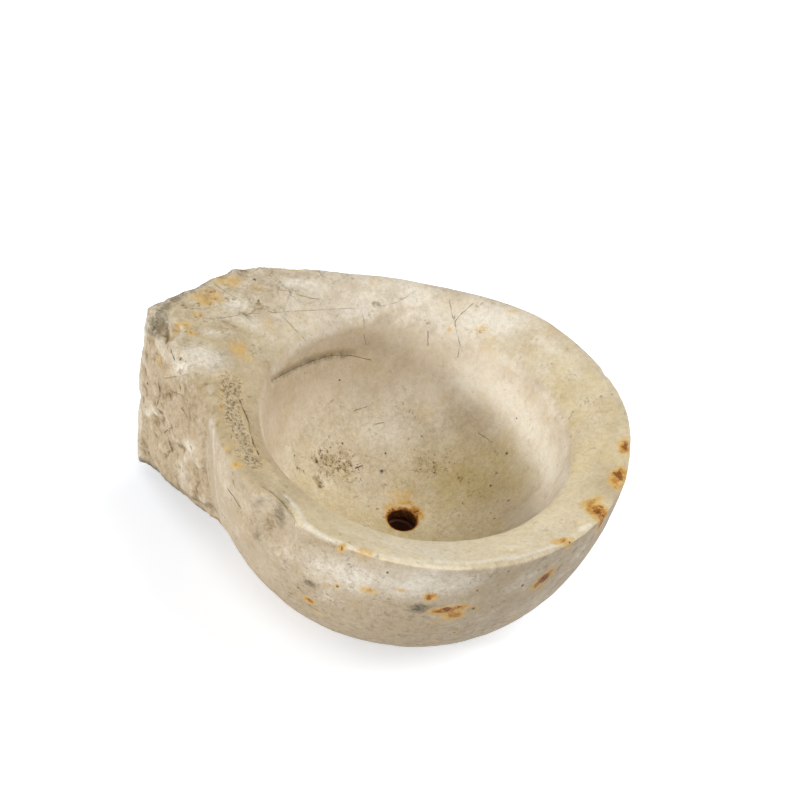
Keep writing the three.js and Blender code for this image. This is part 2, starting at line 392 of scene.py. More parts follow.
class Mark(Enum):
    """What a mark on the stone is; the value names the mesh attribute that holds its strength."""

    OLIVE = "olive_film"
    HONEY = "honey_tinge"
    ROSE = "rose_tinge"
    # soil: brown dirt, and painted shade in the basin, in hollows and on the bowl's unlit side
    SOIL_AND_SHADE = "soil_and_shade"
    # ash: grey dirt, and painted shade under the tail and in its corner hollow
    ASH_AND_SHADE = "ash_and_shade"
    # pale: whitish worn stone, and painted highlights on the crests and the lit basin wall
    PALE_AND_HIGHLIGHT = "pale"
    PITS = "pits"
    RUST = "rust"
    RAW = "raw"
    HEWN = "hewn"
    GRIT = "grit"


@dataclass(frozen=True)
class Trace:
    """A crack or crevice along some pixels, or a nick or hole at one."""

    through: tuple[Pixel, ...]
    wide: float = 0.6  # half width, mm
    deep: float = 0.0  # mm, where it is cut into the mesh


@dataclass(frozen=True)
class Spot:
    """A stain, or a painted shade or highlight, round one pixel."""

    mark: Mark
    at: Pixel
    half: tuple[float, float]  # mm along and across
    strength: float = 1.0
    turn: float = 0.0  # degrees of its length from the picture's right, anticlockwise

    def strengths(self, points: np.ndarray, seat: tuple[np.ndarray, np.ndarray], right: np.ndarray) -> np.ndarray:
        """A cone over an ellipse that lies on the stone: strength times 1 minus the way out to its edge.

        Args:
            points: places, in mm.
            seat: the stain's middle and the stone's outward direction there.
            right: the picture's right.

        Returns:
            The stain's strength at each point.
        """
        middle, normal = seat
        level = unit(right - (right @ normal) * normal)
        rise = np.cross(normal, level)
        turn = np.radians(self.turn)
        along = np.cos(turn) * level + np.sin(turn) * rise
        ways = np.stack([along, np.cross(normal, along), normal], 1)
        reach = np.array([*self.half, max(self.half) + 3.0])
        return self.strength * np.clip(1.0 - np.linalg.norm((points - middle) @ ways / reach, axis=-1), 0.0, None)


@dataclass(frozen=True)
class Stroke:
    """A stain, or a painted shade or highlight, along a line of pixels."""

    mark: Mark
    through: tuple[Pixel, ...]
    wide: float  # half width, mm
    strength: float = 1.0


@dataclass(frozen=True)
class Layer:
    """A film of colour on the stone that shows where a mark is strong.

    How much shows is a smooth step from start to full of the mark times 1 + ragged * (2 noise - 1).
    """

    mark: Mark
    colour: str
    start: float
    full: float
    most: float = 1.0
    grain: float = 12.0  # mm, width of the noise that frays its edge
    ragged: float = 0.5


# Crevices, dents and nicks that are cut into the mesh.
NICKS = (
    Trace(((272, 380), (290, 370), (310, 361), (330, 355), (352, 354)), 5.0, 1.5),
    Trace(((266, 487), (280, 497), (290, 510), (294, 522)), 3.0, 1.2),
    Trace(((240, 400), (246, 416), (250, 430), (258, 455)), 3.5, 1.6),
    Trace(((227, 388), (229, 405), (235, 425), (243, 445), (250, 460)), 15.0, 1.8),
    Trace(((207, 405), (204, 430), (204, 460), (207, 490), (211, 508)), 5.5, 4.0),
    Trace(((166, 328), (167, 346)), 4.0, 3.0),
    Trace(((604, 371),), 7.0, 3.0),
    Trace(((627, 457),), 6.0, 2.2),
    Trace(((625, 490),), 6.0, 1.6),
    Trace(((438, 562),), 5.0, 2.2),
    Trace(((510, 550),), 8.0, 2.0),
    Trace(((465, 563),), 5.0, 1.8),
    Trace(((580, 529),), 6.0, 1.8),
    Trace(((341, 546),), 6.0, 2.2),
    Trace(((377, 556),), 7.0, 1.8),
    Trace(((540, 331),), 6.0, 1.4),
    Trace(((573, 350),), 5.0, 1.2),
    Trace(((376, 304),), 7.0, -2.0),
    Trace(((151, 306),), 8.0, -3.0),
    Trace(((188, 455),), 8.0, -2.0),
    Trace(((172, 425),), 7.0, 2.0),
    Trace(((158, 384), (160, 394), (156, 403), (161, 413)), 3.2, 2.4),
    Trace(((169, 441), (172, 450), (166, 457)), 3.2, 1.8),
    Trace(((248, 269), (270, 269), (290, 272)), 14.0, 2.4),
)

# Hairlines on the rim, the tail and the basin.
CRACKS = (
    Trace(((448, 293), (452, 316), (454, 322), (460, 345), (457, 357)), 0.35),
    Trace(((481, 297), (465, 309), (455, 321)), 0.35),
    Trace(((361, 309), (364, 322), (363, 335), (366, 345)), 0.3),
    Trace(((427, 330), (428, 345)), 0.35),
    Trace(((277, 289), (290, 291), (305, 297), (320, 299)), 0.3),
    Trace(((250, 313), (275, 312), (320, 309), (345, 308), (380, 306), (400, 301), (415, 290)), 0.16),
    Trace(((205, 318), (215, 319), (235, 315), (250, 313)), 0.22),
    Trace(((213, 283), (225, 291), (240, 300)), 0.35),
    Trace(((282, 316), (295, 330), (303, 338)), 0.35),
    Trace(((165, 378), (185, 374)), 0.4),
    Trace(((240, 396), (252, 396), (263, 399)), 0.45),
    Trace(((272, 380), (290, 370), (310, 361), (330, 355), (352, 355), (370, 360)), 0.4),
    Trace(((354, 411), (366, 406)), 0.4),
    Trace(((374, 424), (383, 422)), 0.4),
    Trace(((478, 433), (492, 442)), 0.45),
    Trace(((572, 553), (576, 546)), 0.45),
    Trace(((171, 390), (180, 394), (187, 400)), 0.4),
    Trace(((250, 519), (253, 525)), 0.5),
)

# Deep cracks, dark inside.
CREVICES = (
    Trace(((158, 384), (160, 394), (156, 403), (161, 413)), 0.9),
    Trace(((166, 328), (167, 342), (172, 352), (174, 360)), 0.5),
    Trace(((239, 400), (243, 407), (244, 414), (248, 420), (248, 430), (253, 437), (253, 445), (258, 454)), 0.55),
    Trace(((263, 486), (275, 495), (282, 502), (290, 512), (294, 523)), 0.45),
    Trace(((227, 488), (233, 496), (240, 507)), 0.6),
    Trace(((355, 468), (362, 465)), 0.6),
    Trace(((169, 441), (172, 450), (166, 457)), 0.9),
    Trace(((164, 432), (169, 428), (176, 426)), 0.35),
    Trace(((180, 407), (184, 412), (187, 417)), 0.4),
)

# Pin holes and small dark grains.
PINHOLES = (
    Trace(((254, 279),), 1.3),
    Trace(((258, 300),), 0.9),
    Trace(((147, 383),), 1.2),
    Trace(((473, 608),), 1.3),
    Trace(((477, 590),), 1.0),
    Trace(((291, 593),), 0.9),
    Trace(((298, 587),), 0.8),
    Trace(((337, 586),), 1.0),
    Trace(((522, 585),), 1.2),
    Trace(((309, 599),), 0.8),
    Trace(((569, 542),), 0.8),
    Trace(((508, 571),), 0.8),
    Trace(((387, 572),), 1.0),
    Trace(((506, 453),), 1.1),
    Trace(((490, 485),), 1.0),
    Trace(((508, 500),), 0.9),
    Trace(((494, 518),), 0.8),
    Trace(((316, 461),), 1.6),
    Trace(((381, 471),), 1.5),
    Trace(((294, 455),), 0.8),
    Trace(((342, 443),), 0.8),
    Trace(((385, 453),), 0.8),
    Trace(((339, 380),), 0.7),
    Trace(((434, 472),), 0.7),
    Trace(((545, 577),), 1.5),
    Trace(((454, 632),), 0.8),
    Trace(((330, 600),), 0.6),
    Trace(((516, 418),), 0.6),
)

# Where the rim has crumbled.
CRUMBLED = (
    Stroke(Mark.RAW, ((231, 382), (231, 405), (237, 425), (245, 445), (252, 460)), 22.0, 1.25),
)

# Stains, and some painted shade and highlights, in the order of the rim's right, its front, the outside, the tail, the
# back, the basin.
STAINS_AND_PAINTED_LIGHT = (
    Spot(Mark.RUST, (624, 446), (14, 9), 0.9, 80),
    Spot(Mark.RUST, (618, 475), (17, 11), 1.1, 70),
    Spot(Mark.RUST, (616, 487), (7, 5), 0.75),
    Spot(Mark.RUST, (599, 512), (23, 11), 1.15, -62),
    Spot(Mark.RUST, (591, 501), (16, 10), 0.6, 30),
    Spot(Mark.RUST, (602, 522), (9, 6), 0.75, 60),
    Spot(Mark.RUST, (562, 540), (13, 7), 0.75, 25),
    Spot(Mark.RUST, (341, 548), (6, 4.5), 0.85, 30),
    Spot(Mark.RUST, (366, 550), (13, 8), 0.42),
    Spot(Mark.RUST, (309, 600), (8, 7), 0.85),
    Spot(Mark.RUST, (326, 586), (4, 4), 0.45),
    Spot(Mark.RUST, (337, 585), (6, 6), 0.45),
    Spot(Mark.RUST, (368, 590), (11, 7), 0.6),
    Spot(Mark.RUST, (401, 590), (7, 3.5), 0.5),
    Spot(Mark.RUST, (429, 597), (10, 7), 0.9, 20),
    Spot(Mark.RUST, (448, 609), (21, 7), 1.3, 4),
    Spot(Mark.RUST, (453, 615), (14, 11), 0.8, -10),
    Spot(Mark.RUST, (434, 622), (8, 3), 0.45),
    Spot(Mark.RUST, (473, 608), (7, 5), 0.5),
    Spot(Mark.RUST, (477, 590), (5, 4), 0.45),
    Spot(Mark.RUST, (454, 632), (6, 4), 0.55),
    Spot(Mark.RUST, (433, 640), (6, 3), 0.5),
    Spot(Mark.RUST, (543, 578), (17, 9), 1.5, 32),
    Spot(Mark.RUST, (539, 590), (9, 3.5), 0.5, 50),
    Spot(Mark.RUST, (512, 617), (9, 4), 0.5, 30),
    Spot(Mark.RUST, (318, 613), (12, 4), 0.35, -35),
    Spot(Mark.RUST, (208, 297), (22, 17), 0.5),
    Spot(Mark.RUST, (227, 280), (24, 14), 0.4, 15),
    Spot(Mark.RUST, (183, 324), (11, 6), 0.5),
    Spot(Mark.RUST, (190, 332), (10, 4), 0.5, -25),
    Spot(Mark.RUST, (241, 350), (20, 15), 0.42),
    Spot(Mark.RUST, (268, 326), (20, 13), 0.3),
    Spot(Mark.RUST, (196, 313), (9, 7), 0.35),
    Spot(Mark.RUST, (255, 287), (18, 11), 0.28),
    Spot(Mark.RUST, (222, 407), (5, 4), 0.5),
    Spot(Mark.RUST, (236, 464), (9, 5), 0.45),
    Spot(Mark.RUST, (228, 447), (7, 6), 0.3),
    Spot(Mark.RUST, (160, 360), (10, 8), 0.3),
    Spot(Mark.RUST, (480, 328), (12, 7), 0.33),
    Spot(Mark.RUST, (450, 329), (3.5, 3.5), 0.55),
    Spot(Mark.RUST, (513, 311), (11, 6), 0.3),
    Spot(Mark.RUST, (402, 496), (20, 13), 0.34),
    Spot(Mark.RUST, (416, 511), (9, 6), 1.1, -25),
    Stroke(Mark.RUST, ((387, 516), (390, 507), (398, 501), (408, 501), (417, 508), (421, 516)), 7.0, 0.5),
    # Brown band below the back lip: partly dirt, partly painted shade above the crevice.
    Stroke(Mark.SOIL_AND_SHADE, ((273, 392), (285, 366), (300, 350), (330, 337), (352, 331), (385, 320)), 13.0, 0.45),
    Spot(Mark.SOIL_AND_SHADE, (350, 331), (14, 8), 0.6, 20),
    Spot(Mark.SOIL_AND_SHADE, (268, 362), (28, 44), 0.85),
    Spot(Mark.SOIL_AND_SHADE, (300, 334), (30, 16), 0.45, 35),
    Spot(Mark.SOIL_AND_SHADE, (378, 322), (9, 8), 0.6),
    # Brown in the basin's middle, next to the lit crescent: partly stain, partly painted shadow of the rim.
    Spot(Mark.SOIL_AND_SHADE, (472, 420), (70, 40), 0.8, -30),
    Spot(Mark.SOIL_AND_SHADE, (270, 524), (24, 30), 1.2),
    Spot(Mark.SOIL_AND_SHADE, (252, 545), (16, 16), 0.9),
    Spot(Mark.SOIL_AND_SHADE, (487, 575), (16, 12), 0.5),
    Spot(Mark.SOIL_AND_SHADE, (500, 612), (34, 14), 0.5, 25),
    Spot(Mark.SOIL_AND_SHADE, (440, 632), (60, 14), 0.45, 5),
    Spot(Mark.SOIL_AND_SHADE, (318, 484), (10, 6), 0.9, -60),
    Spot(Mark.SOIL_AND_SHADE, (432, 431), (12, 5), 0.7, -20),
    Spot(Mark.SOIL_AND_SHADE, (300, 470), (24, 14), 0.45),
    Spot(Mark.ASH_AND_SHADE, (279, 514), (22, 11), 0.95, 80),
    Spot(Mark.ASH_AND_SHADE, (257, 537), (16, 18), 0.6),
    Spot(Mark.ASH_AND_SHADE, (309, 583), (8, 7), 1.4),
    Spot(Mark.ASH_AND_SHADE, (419, 608), (11, 10), 1.5),
    Spot(Mark.ASH_AND_SHADE, (377, 556), (7, 4.5), 0.6),
    # Grey-brown in the tail corner's broken hollow: partly the stone's colour, partly painted shade in the recess.
    Spot(Mark.ASH_AND_SHADE, (156, 325), (24, 14), 1.0, 60),
    Spot(Mark.SOIL_AND_SHADE, (157, 325), (28, 18), 1.2, 60),
    Stroke(Mark.ASH_AND_SHADE, ((155, 316), (168, 303), (185, 291), (205, 280), (230, 268)), 9.0, 0.75),
    Stroke(Mark.SOIL_AND_SHADE, ((205, 405), (203, 430), (203, 460), (206, 490), (211, 508)), 7.0, 1.0),
    Spot(Mark.ASH_AND_SHADE, (205, 462), (6, 8), 0.7),
    Spot(Mark.ASH_AND_SHADE, (203, 480), (6, 6), 0.65),
    Spot(Mark.ASH_AND_SHADE, (221, 354), (13, 17), 0.5),
    Spot(Mark.ASH_AND_SHADE, (376, 303), (8, 5), 0.75),
    Spot(Mark.ASH_AND_SHADE, (273, 285), (9, 7), 0.5),
    Spot(Mark.ASH_AND_SHADE, (383, 470), (5, 4), 0.7),
    Stroke(Mark.ASH_AND_SHADE, ((272, 380), (290, 370), (310, 361), (330, 355), (345, 355)), 7.0, 0.62),
    # Soft brown round the back crevice: partly dirt, partly painted shade in the crease.
    Stroke(Mark.SOIL_AND_SHADE, ((272, 378), (290, 368), (310, 359), (330, 353), (350, 353)), 11.0, 0.65),
    Stroke(Mark.SOIL_AND_SHADE, ((475, 570), (510, 562), (560, 546)), 11.0, 0.6),
    # White spots at nicks on the front crest: painted glints, partly fresh white chips.
    Spot(Mark.PALE_AND_HIGHLIGHT, (438, 562), (5.5, 4), 1.2),
    Spot(Mark.PALE_AND_HIGHLIGHT, (465, 562), (5, 3.5), 0.8),
    Spot(Mark.PALE_AND_HIGHLIGHT, (510, 546), (9, 7), 0.75, -50),
    Spot(Mark.PALE_AND_HIGHLIGHT, (580, 528), (4, 4), 0.9),
    Spot(Mark.PALE_AND_HIGHLIGHT, (205, 358), (38, 28), 1.1, -30),
    Spot(Mark.PALE_AND_HIGHLIGHT, (182, 366), (24, 18), 1.0),
    Spot(Mark.PALE_AND_HIGHLIGHT, (182, 474), (20, 24), 0.8),
    Spot(Mark.PALE_AND_HIGHLIGHT, (302, 284), (45, 18), 0.9),
    Spot(Mark.PALE_AND_HIGHLIGHT, (335, 304), (30, 12), 0.5),
    Spot(Mark.SOIL_AND_SHADE, (352, 285), (28, 10), 0.6),
    Spot(Mark.PALE_AND_HIGHLIGHT, (230, 303), (32, 18), 0.9),
    Spot(Mark.PALE_AND_HIGHLIGHT, (250, 321), (34, 16), 0.85),
    Spot(Mark.PALE_AND_HIGHLIGHT, (211, 332), (22, 14), 0.7),
    Spot(Mark.PALE_AND_HIGHLIGHT, (190, 448), (22, 18), 0.75),
    Spot(Mark.PALE_AND_HIGHLIGHT, (545, 345), (34, 22), 0.6, -40),
    Spot(Mark.PALE_AND_HIGHLIGHT, (380, 430), (60, 34), 0.7),
    Stroke(Mark.PALE_AND_HIGHLIGHT, ((345, 531), (420, 551), (470, 553)), 13.0, 0.55),
    Spot(Mark.SOIL_AND_SHADE, (150, 352), (16, 18), 0.9),
    # Broad darkening of the bowl's right side, which faces away from the lamps: painted shade.
    Stroke(Mark.SOIL_AND_SHADE, ((556, 584), (590, 556), (612, 527), (624, 500)), 48.0, 1.0),
    # Dark strip along the tail's lower edge, where it turns under: painted shade.
    Stroke(Mark.ASH_AND_SHADE, ((139, 458), (160, 476), (190, 496), (216, 510)), 5.0, 0.8),
    Spot(Mark.ROSE, (195, 480), (24, 30), 1.2),
    # Bright patch on the back lip's rounded edge: painted highlight, with some wear.
    Spot(Mark.PALE_AND_HIGHLIGHT, (415, 313), (16, 6), 0.8),
    Spot(Mark.PALE_AND_HIGHLIGHT, (514, 328), (5, 14), 0.5),
    Spot(Mark.PALE_AND_HIGHLIGHT, (350, 576), (76, 38), 0.9),
    Spot(Mark.PALE_AND_HIGHLIGHT, (415, 584), (90, 36), 0.85),
    Spot(Mark.PALE_AND_HIGHLIGHT, (530, 576), (50, 24), 0.5, 25),
    Spot(Mark.PALE_AND_HIGHLIGHT, (490, 321), (68, 30), 0.95),
    Stroke(Mark.PALE_AND_HIGHLIGHT, ((172, 310), (168, 321), (166, 334)), 3.5, 0.8),
    # Pale lines along the left and front crests: painted highlight on the rounded edges, with some wear.
    Stroke(Mark.PALE_AND_HIGHLIGHT, ((286, 496), (297, 508), (303, 522), (319, 534), (345, 546)), 6.0, 0.75),
    Stroke(Mark.PALE_AND_HIGHLIGHT, ((345, 546), (400, 559), (460, 563), (520, 556), (560, 543), (590, 524)), 4.5, 0.75),
    Stroke(Mark.PALE_AND_HIGHLIGHT, ((213, 415), (213, 440), (214, 470), (217, 500)), 7.0, 0.45),
    # Pale band on the basin's right wall, where the low lamp reaches it: painted light, partly cleaner stone.
    Stroke(Mark.PALE_AND_HIGHLIGHT, ((470, 372), (503, 392), (533, 430), (553, 470)), 34.0, 0.85),
    Spot(Mark.ROSE, (370, 366), (30, 14), 0.9),
    Spot(Mark.ROSE, (240, 515), (34, 44), 1.1),
    Spot(Mark.OLIVE, (470, 480), (120, 70), 1.0),
    Spot(Mark.OLIVE, (300, 336), (30, 16), 0.5, 35),
    Spot(Mark.OLIVE, (284, 486), (9, 5), 1.0),
    Spot(Mark.PITS, (335, 462), (80, 50), 1.4),
    Spot(Mark.PITS, (430, 465), (90, 50), 1.15),
    Spot(Mark.PITS, (318, 482), (18, 12), 1.7, -60),
    Spot(Mark.PITS, (316, 461), (14, 10), 1.6),
    Spot(Mark.PITS, (300, 470), (16, 12), 1.4),
)

# Films on the marble, from the broad tinges to the darkest rust. The soil and ash films also carry painted shade, and
# the pale film painted highlights.
STONE_LAYERS = (
    Layer(Mark.ROSE, "#cfba9b", 0.1, 1.0, 0.6, 30.0, 1.0),
    Layer(Mark.OLIVE, "#c0ad6c", 0.1, 1.0, 0.8, 22.0, 1.0),
    Layer(Mark.HONEY, "#e9d8ac", 0.1, 1.0, 0.55, 26.0, 1.2),
    Layer(Mark.SOIL_AND_SHADE, "#b19d7e", 0.15, 0.9, 0.8, 24.0, 1.2),
    Layer(Mark.PALE_AND_HIGHLIGHT, "#ebe4d5", 0.15, 0.9, 0.85, 16.0, 1.0),
    Layer(Mark.SOIL_AND_SHADE, "#84704f", 0.68, 1.4, 0.8, 6.0, 1.4),
    Layer(Mark.RAW, "#d3bb8c", 0.15, 0.8, 0.6, 7.0, 1.4),
    Layer(Mark.RAW, "#67502e", 0.75, 1.3, 0.75, 3.4, 3.2),
    Layer(Mark.RAW, "#dccdae", 0.8, 1.25, 0.6, 2.6, 3.2),
    Layer(Mark.ASH_AND_SHADE, "#857a62", 0.2, 0.8, 0.8, 5.0, 2.2),
    Layer(Mark.ASH_AND_SHADE, "#4a4234", 0.6, 1.3, 0.8, 3.0, 2.2),
    Layer(Mark.PITS, "#97793f", 0.9, 1.6, 0.5, 8.0, 1.8),
    Layer(Mark.PITS, "#664516", 1.2, 1.65, 0.8, 3.0, 2.6),
    Layer(Mark.RUST, "#d9b262", 0.04, 0.4, 0.75, 10.0, 2.2),
    Layer(Mark.RUST, "#bb7c10", 0.32, 0.75, 0.85, 6.0, 2.6),
    Layer(Mark.RUST, "#7a4206", 0.58, 1.0, 0.92, 4.5, 2.8),
    Layer(Mark.RUST, "#3d1d08", 1.0, 1.5, 0.9, 3.0, 2.2),
)


def stain_fields(
    grid: np.ndarray, camera: PhotoCamera, stains: tuple[Spot | Stroke, ...]
) -> dict[Mark, np.ndarray]:
    """How strong each kind of stain is at each point: the strongest of the stains of that kind.

    Args:
        grid: the stone's points, in mm.
        camera: through which each stain's pixels are found on the stone.
        stains: the stains.

    Returns:
        The strengths by kind.
    """
    seen = stone_tree(grid)
    right = camera.axes()[0]
    fields: dict[Mark, np.ndarray] = {}
    for stain in stains:
        if isinstance(stain, Spot):
            points, normals = camera.spot(seen, (stain.at,))
            values = stain.strengths(grid, (points[0], normals[0]), right)
        else:
            line = camera.trail(seen, stain.through)
            values = stain.strength * np.clip(1.0 - line_gap(grid, line) / stain.wide, 0.0, None)
        fields[stain.mark] = np.maximum(fields.get(stain.mark, 0.0), values)
    return fields


def trace_fields(
    grid: np.ndarray, camera: PhotoCamera, traces: tuple[Trace, ...]
) -> tuple[np.ndarray, np.ndarray]:
    """The way from each point to the nearest crack or hole.

    A way runs straight across a face, so the shader finds the middle of a crack finer than the mesh.

    Args:
        grid: the stone's points, in mm.
        camera: through which the pixels are found on the stone.
        traces: the cracks or holes.

    Returns:
        The way in half widths of the nearest one, and its length in mm.
    """
    seen = stone_tree(grid)
    way = np.full(grid.shape, FAR)
    far = np.full(grid.shape[:-1], FAR)
    for trace in traces:
        line = camera.trail(seen, trace.through)
        new = line_way(grid, line)
        gap = np.linalg.norm(new, axis=-1)
        nearer = gap < far
        way = np.where(nearer[..., None], new / trace.wide, way)
        far = np.where(nearer, gap, far)
    return way, far


def write_field(mesh: bpy.types.Mesh, name: str, values: np.ndarray) -> None:
    """Writes numbers or vectors, one for each vertex, as an attribute of a mesh."""
    vectors = values.shape[-1] == 3 and values.size == 3 * len(mesh.vertices)
    layer = mesh.attributes.new(name, "FLOAT_VECTOR" if vectors else "FLOAT", "POINT")
    layer.data.foreach_set("vector" if vectors else "value", values.astype(np.float32).ravel())


def turned_grid(profile: np.ndarray, axis: Pixel, rounds: int, step: float) -> np.ndarray:
    """A ring turned from a closed section: each side is divided evenly and carried round an axis.

    Args:
        profile: radius and height of the section's corners.
        axis: x and y of the axis, in mm.
        rounds: points round.
        step: longest piece of a side, in mm.

    Returns:
        The points, round by along.
    """
    sides = []
    for start, end in zip(profile, np.roll(profile, -1, 0)):
        count = max(2, int(np.ceil(np.linalg.norm(end - start) / step)))
        share = np.linspace(0.0, 1.0, count, endpoint=False)[:, None]
        sides.append(start + (end - start) * share)
    section = np.concatenate(sides)
    turn = np.linspace(0.0, 2.0 * np.pi, rounds, endpoint=False)[:, None]
    x = axis[0] + section[:, 0] * np.cos(turn)
    y = axis[1] + section[:, 0] * np.sin(turn)
    return np.stack([x, y, np.broadcast_to(section[:, 1], x.shape)], -1)


@dataclass
class StoneBlock:
    """The carved block: bowl, basin, dished rim and hewn tail are one stone.

    Its surface is one grid, closed both ways. One way goes round the bowl's axis, and the other goes
    up the drain hole, over the basin, the rim, the outside and the base, and back up the socket.
    """

    rim_radius: float = 176.0
    bowl_radius: float = 171.0
    bowl_depth: float = 34.0  # middle of the bowl's sphere below the rim
    height: float = 182.0
    crest_radius: float = 173.0  # highest line of the rim
    lip_radius: float = 126.0
    lip_depth: float = 20.0
    basin_depth: float = 132.0
    tail_length: float = 218.0
    end_lean: float = 7.4  # degrees, as the other angles
    left_offset: float = 160.0
    left_facing: float = 165.5
    right_offset: float = 172.0
    right_facing: float = 52.8
    right_batter: float = 19.3
    under_depth: float = 73.0
    under_slope: float = 23.8
    top_fall: float = 1.0
    root_offset: float = 86.0
    root_facing: float = 108.8
    worn_facing: float = 40.0
    worn_start: float = 153.5
    worn_slope: float = 28.7
    swell: float = 2.0  # how far the wall swells out below the rim
    swell_depth: float = 36.0
    swell_height: float = 26.0
    rim_bulge: float = 5.0  # how far the rim runs out of round
    rim_bulge_facing: float = -22.0
    rim_bulge_width: float = 22.0
    flank_belly: float = 4.0  # how far the left flank stands out at half height
    drain: Pixel = (8.0, -4.0)
    hole_radius: float = 12.0
    socket_mouth: float = 22.6
    socket_top: float = 24.6
    drain_lip: float = 12.0  # stone between the basin floor and the socket
    edge_round: float = 8.0  # arrises of the tail
    rounds: int = 400
    basin_rings: int = 60
    rim_rings: int = 24
    outside_rings: int = 146
    under_rings: int = 18

    def bearings(self) -> np.ndarray:
        """Directions round the axis in radians, closer together over the tail and the broken rim."""
        even = np.linspace(0.0, 360.0, 3601)
        close = 1.0 + 0.5 * ramp(even, 50.0, 65.0) * (1.0 - ramp(even, 190.0, 205.0))
        reached = np.concatenate([[0.0], np.cumsum((close[1:] + close[:-1]) / 2.0)])
        wanted = np.linspace(0.0, reached[-1], self.rounds, endpoint=False)
        return np.radians(np.interp(wanted, reached, even))

    def plan(self, bearing: np.ndarray, radius: np.ndarray, share: np.ndarray) -> np.ndarray:
        """Plan places at a radius round a centre between the bowl's axis and the drain's.

        Args:
            bearing: directions, one a row.
            radius: distances from the centre, a grid.
            share: 0 for the bowl's axis, 1 for the drain's.

        Returns:
            x and y for each point of the grid.
        """
        radius, bearing, share = np.broadcast_arrays(radius, bearing[:, None], share)
        x = radius * np.cos(bearing) + share * self.drain[0]
        y = radius * np.sin(bearing) + share * self.drain[1]
        return np.stack([x, y], -1)

    def bowl_wall(self, bearing: np.ndarray, height: np.ndarray) -> np.ndarray:
        """Radius of the bowl's outside: a sphere, and above its middle a straight flare to the rim.

        A bell curve down the wall adds the swell below the rim, and one round the rim its bulge.

        Args:
            bearing: directions round the axis.
            height: heights.

        Returns:
            The radii.
        """
        sphere = np.sqrt(np.maximum(self.bowl_radius**2 - (height + self.bowl_depth) ** 2, 0.0))
        flare = self.rim_radius + (self.rim_radius - self.bowl_radius) * height / self.bowl_depth
        swell = self.swell * np.exp(-(((height + self.swell_depth) / self.swell_height) ** 2))
        turn = np.angle(np.exp(1j * (bearing - np.radians(self.rim_bulge_facing))), deg=True)
        bulge = self.rim_bulge * np.exp(-((turn / self.rim_bulge_width) ** 2))
        bulge = bulge * np.exp(height / self.swell_depth)
        return np.where(height > -self.bowl_depth, flare, sphere) + swell + bulge

    def wall(self, bearing: np.ndarray, height: np.ndarray) -> np.ndarray:
        """Radius of the outside at a height: the bowl's, or the tail's where that reaches further.

        The tail is bounded by its left flank, its end and its right flank, which are planes with
        rounded arrises, and it counts only beyond its root inside the bowl.

        Args:
            bearing: directions, a grid.
            height: heights, a grid.

        Returns:
            The radii.
        """
        end_offset = self.tail_length + np.tan(np.radians(self.end_lean)) * height
        right_offset = self.right_offset + np.tan(np.radians(self.right_batter)) * height
        belly = self.flank_belly * np.clip(1.0 - (height / self.under_depth + 1.0) ** 2, 0.0, None)
        left = plane_reach(bearing, self.left_facing, self.left_offset + belly)
        end = plane_reach(bearing, 90.0, end_offset)
        right = plane_reach(bearing, self.right_facing, right_offset)
        tail = smooth_min(smooth_min(left, end, self.edge_round), right, self.edge_round)
        beyond = tail * np.cos(bearing - np.radians(self.root_facing)) > self.root_offset
        bowl = self.bowl_wall(bearing, height)
        return np.where(beyond, -smooth_min(-tail, -bowl, self.edge_round / 2.0), bowl)

    def top(self, plan: np.ndarray) -> np.ndarray:
        """Height of the rim and of the tail's top: the lowest of the dish, the top and the worn plane.

        The dish rises straight from the lip to the crest. Beyond the crest the top falls away from the
        left flank, and the back of the rim is worn down to a plane that falls outwards.

        Args:
            plan: x and y places.

        Returns:
            The heights.
        """
        radius = np.linalg.norm(plan, axis=-1)
        dish = self.lip_depth * (radius - self.crest_radius) / (self.crest_radius - self.lip_radius)
        left = np.radians(self.left_facing)
        inside = self.left_offset - plan @ np.array([np.cos(left), np.sin(left)])
        beyond = ramp(radius, self.crest_radius, self.rim_radius + self.edge_round)
        flat = -np.tan(np.radians(self.top_fall)) * inside * beyond
        worn = np.radians(self.worn_facing)
        out = plan @ np.array([np.cos(worn), np.sin(worn)]) - self.worn_start
        fall = -np.tan(np.radians(self.worn_slope)) * out
        return smooth_min(smooth_min(dish, flat, 3.0), fall, 4.0)

    def basin(self, bearing: np.ndarray) -> np.ndarray:
        """The drain hole and the basin: an ellipse from the floor to the lip, turned round the axis."""
        start = np.arcsin(self.hole_radius / self.lip_radius)
        angle = np.linspace(start, np.pi / 2.0, self.basin_rings - 4, endpoint=False)
        radius = self.lip_radius * np.sin(angle)
        share = 1.0 - ramp(radius, self.hole_radius, self.lip_radius * 0.6)
        plan = self.plan(bearing, radius, share)
        out = np.minimum(np.linalg.norm(plan, axis=-1) / self.lip_radius, 1.0)
        fall = self.basin_depth - self.lip_depth
        height = -self.lip_depth - fall * np.sqrt(1.0 - out**2)
        bowl = np.concatenate([plan, height[..., None]], -1)
        rise = np.linspace(1.0, 0.0, 4, endpoint=False)[:, None] * np.array([0.0, 0.0, self.drain_lip])
        return np.concatenate([bowl[:, :1] - rise[None], bowl], 1)

    def rim(self, bearing: np.ndarray) -> np.ndarray:
        """The dished rim from the lip to just inside the crest."""
        radius = np.linspace(self.lip_radius, self.crest_radius, self.rim_rings, endpoint=False)
        plan = self.plan(bearing, radius, np.zeros(1))
        return np.concatenate([plan, self.top(plan)[..., None]], -1)

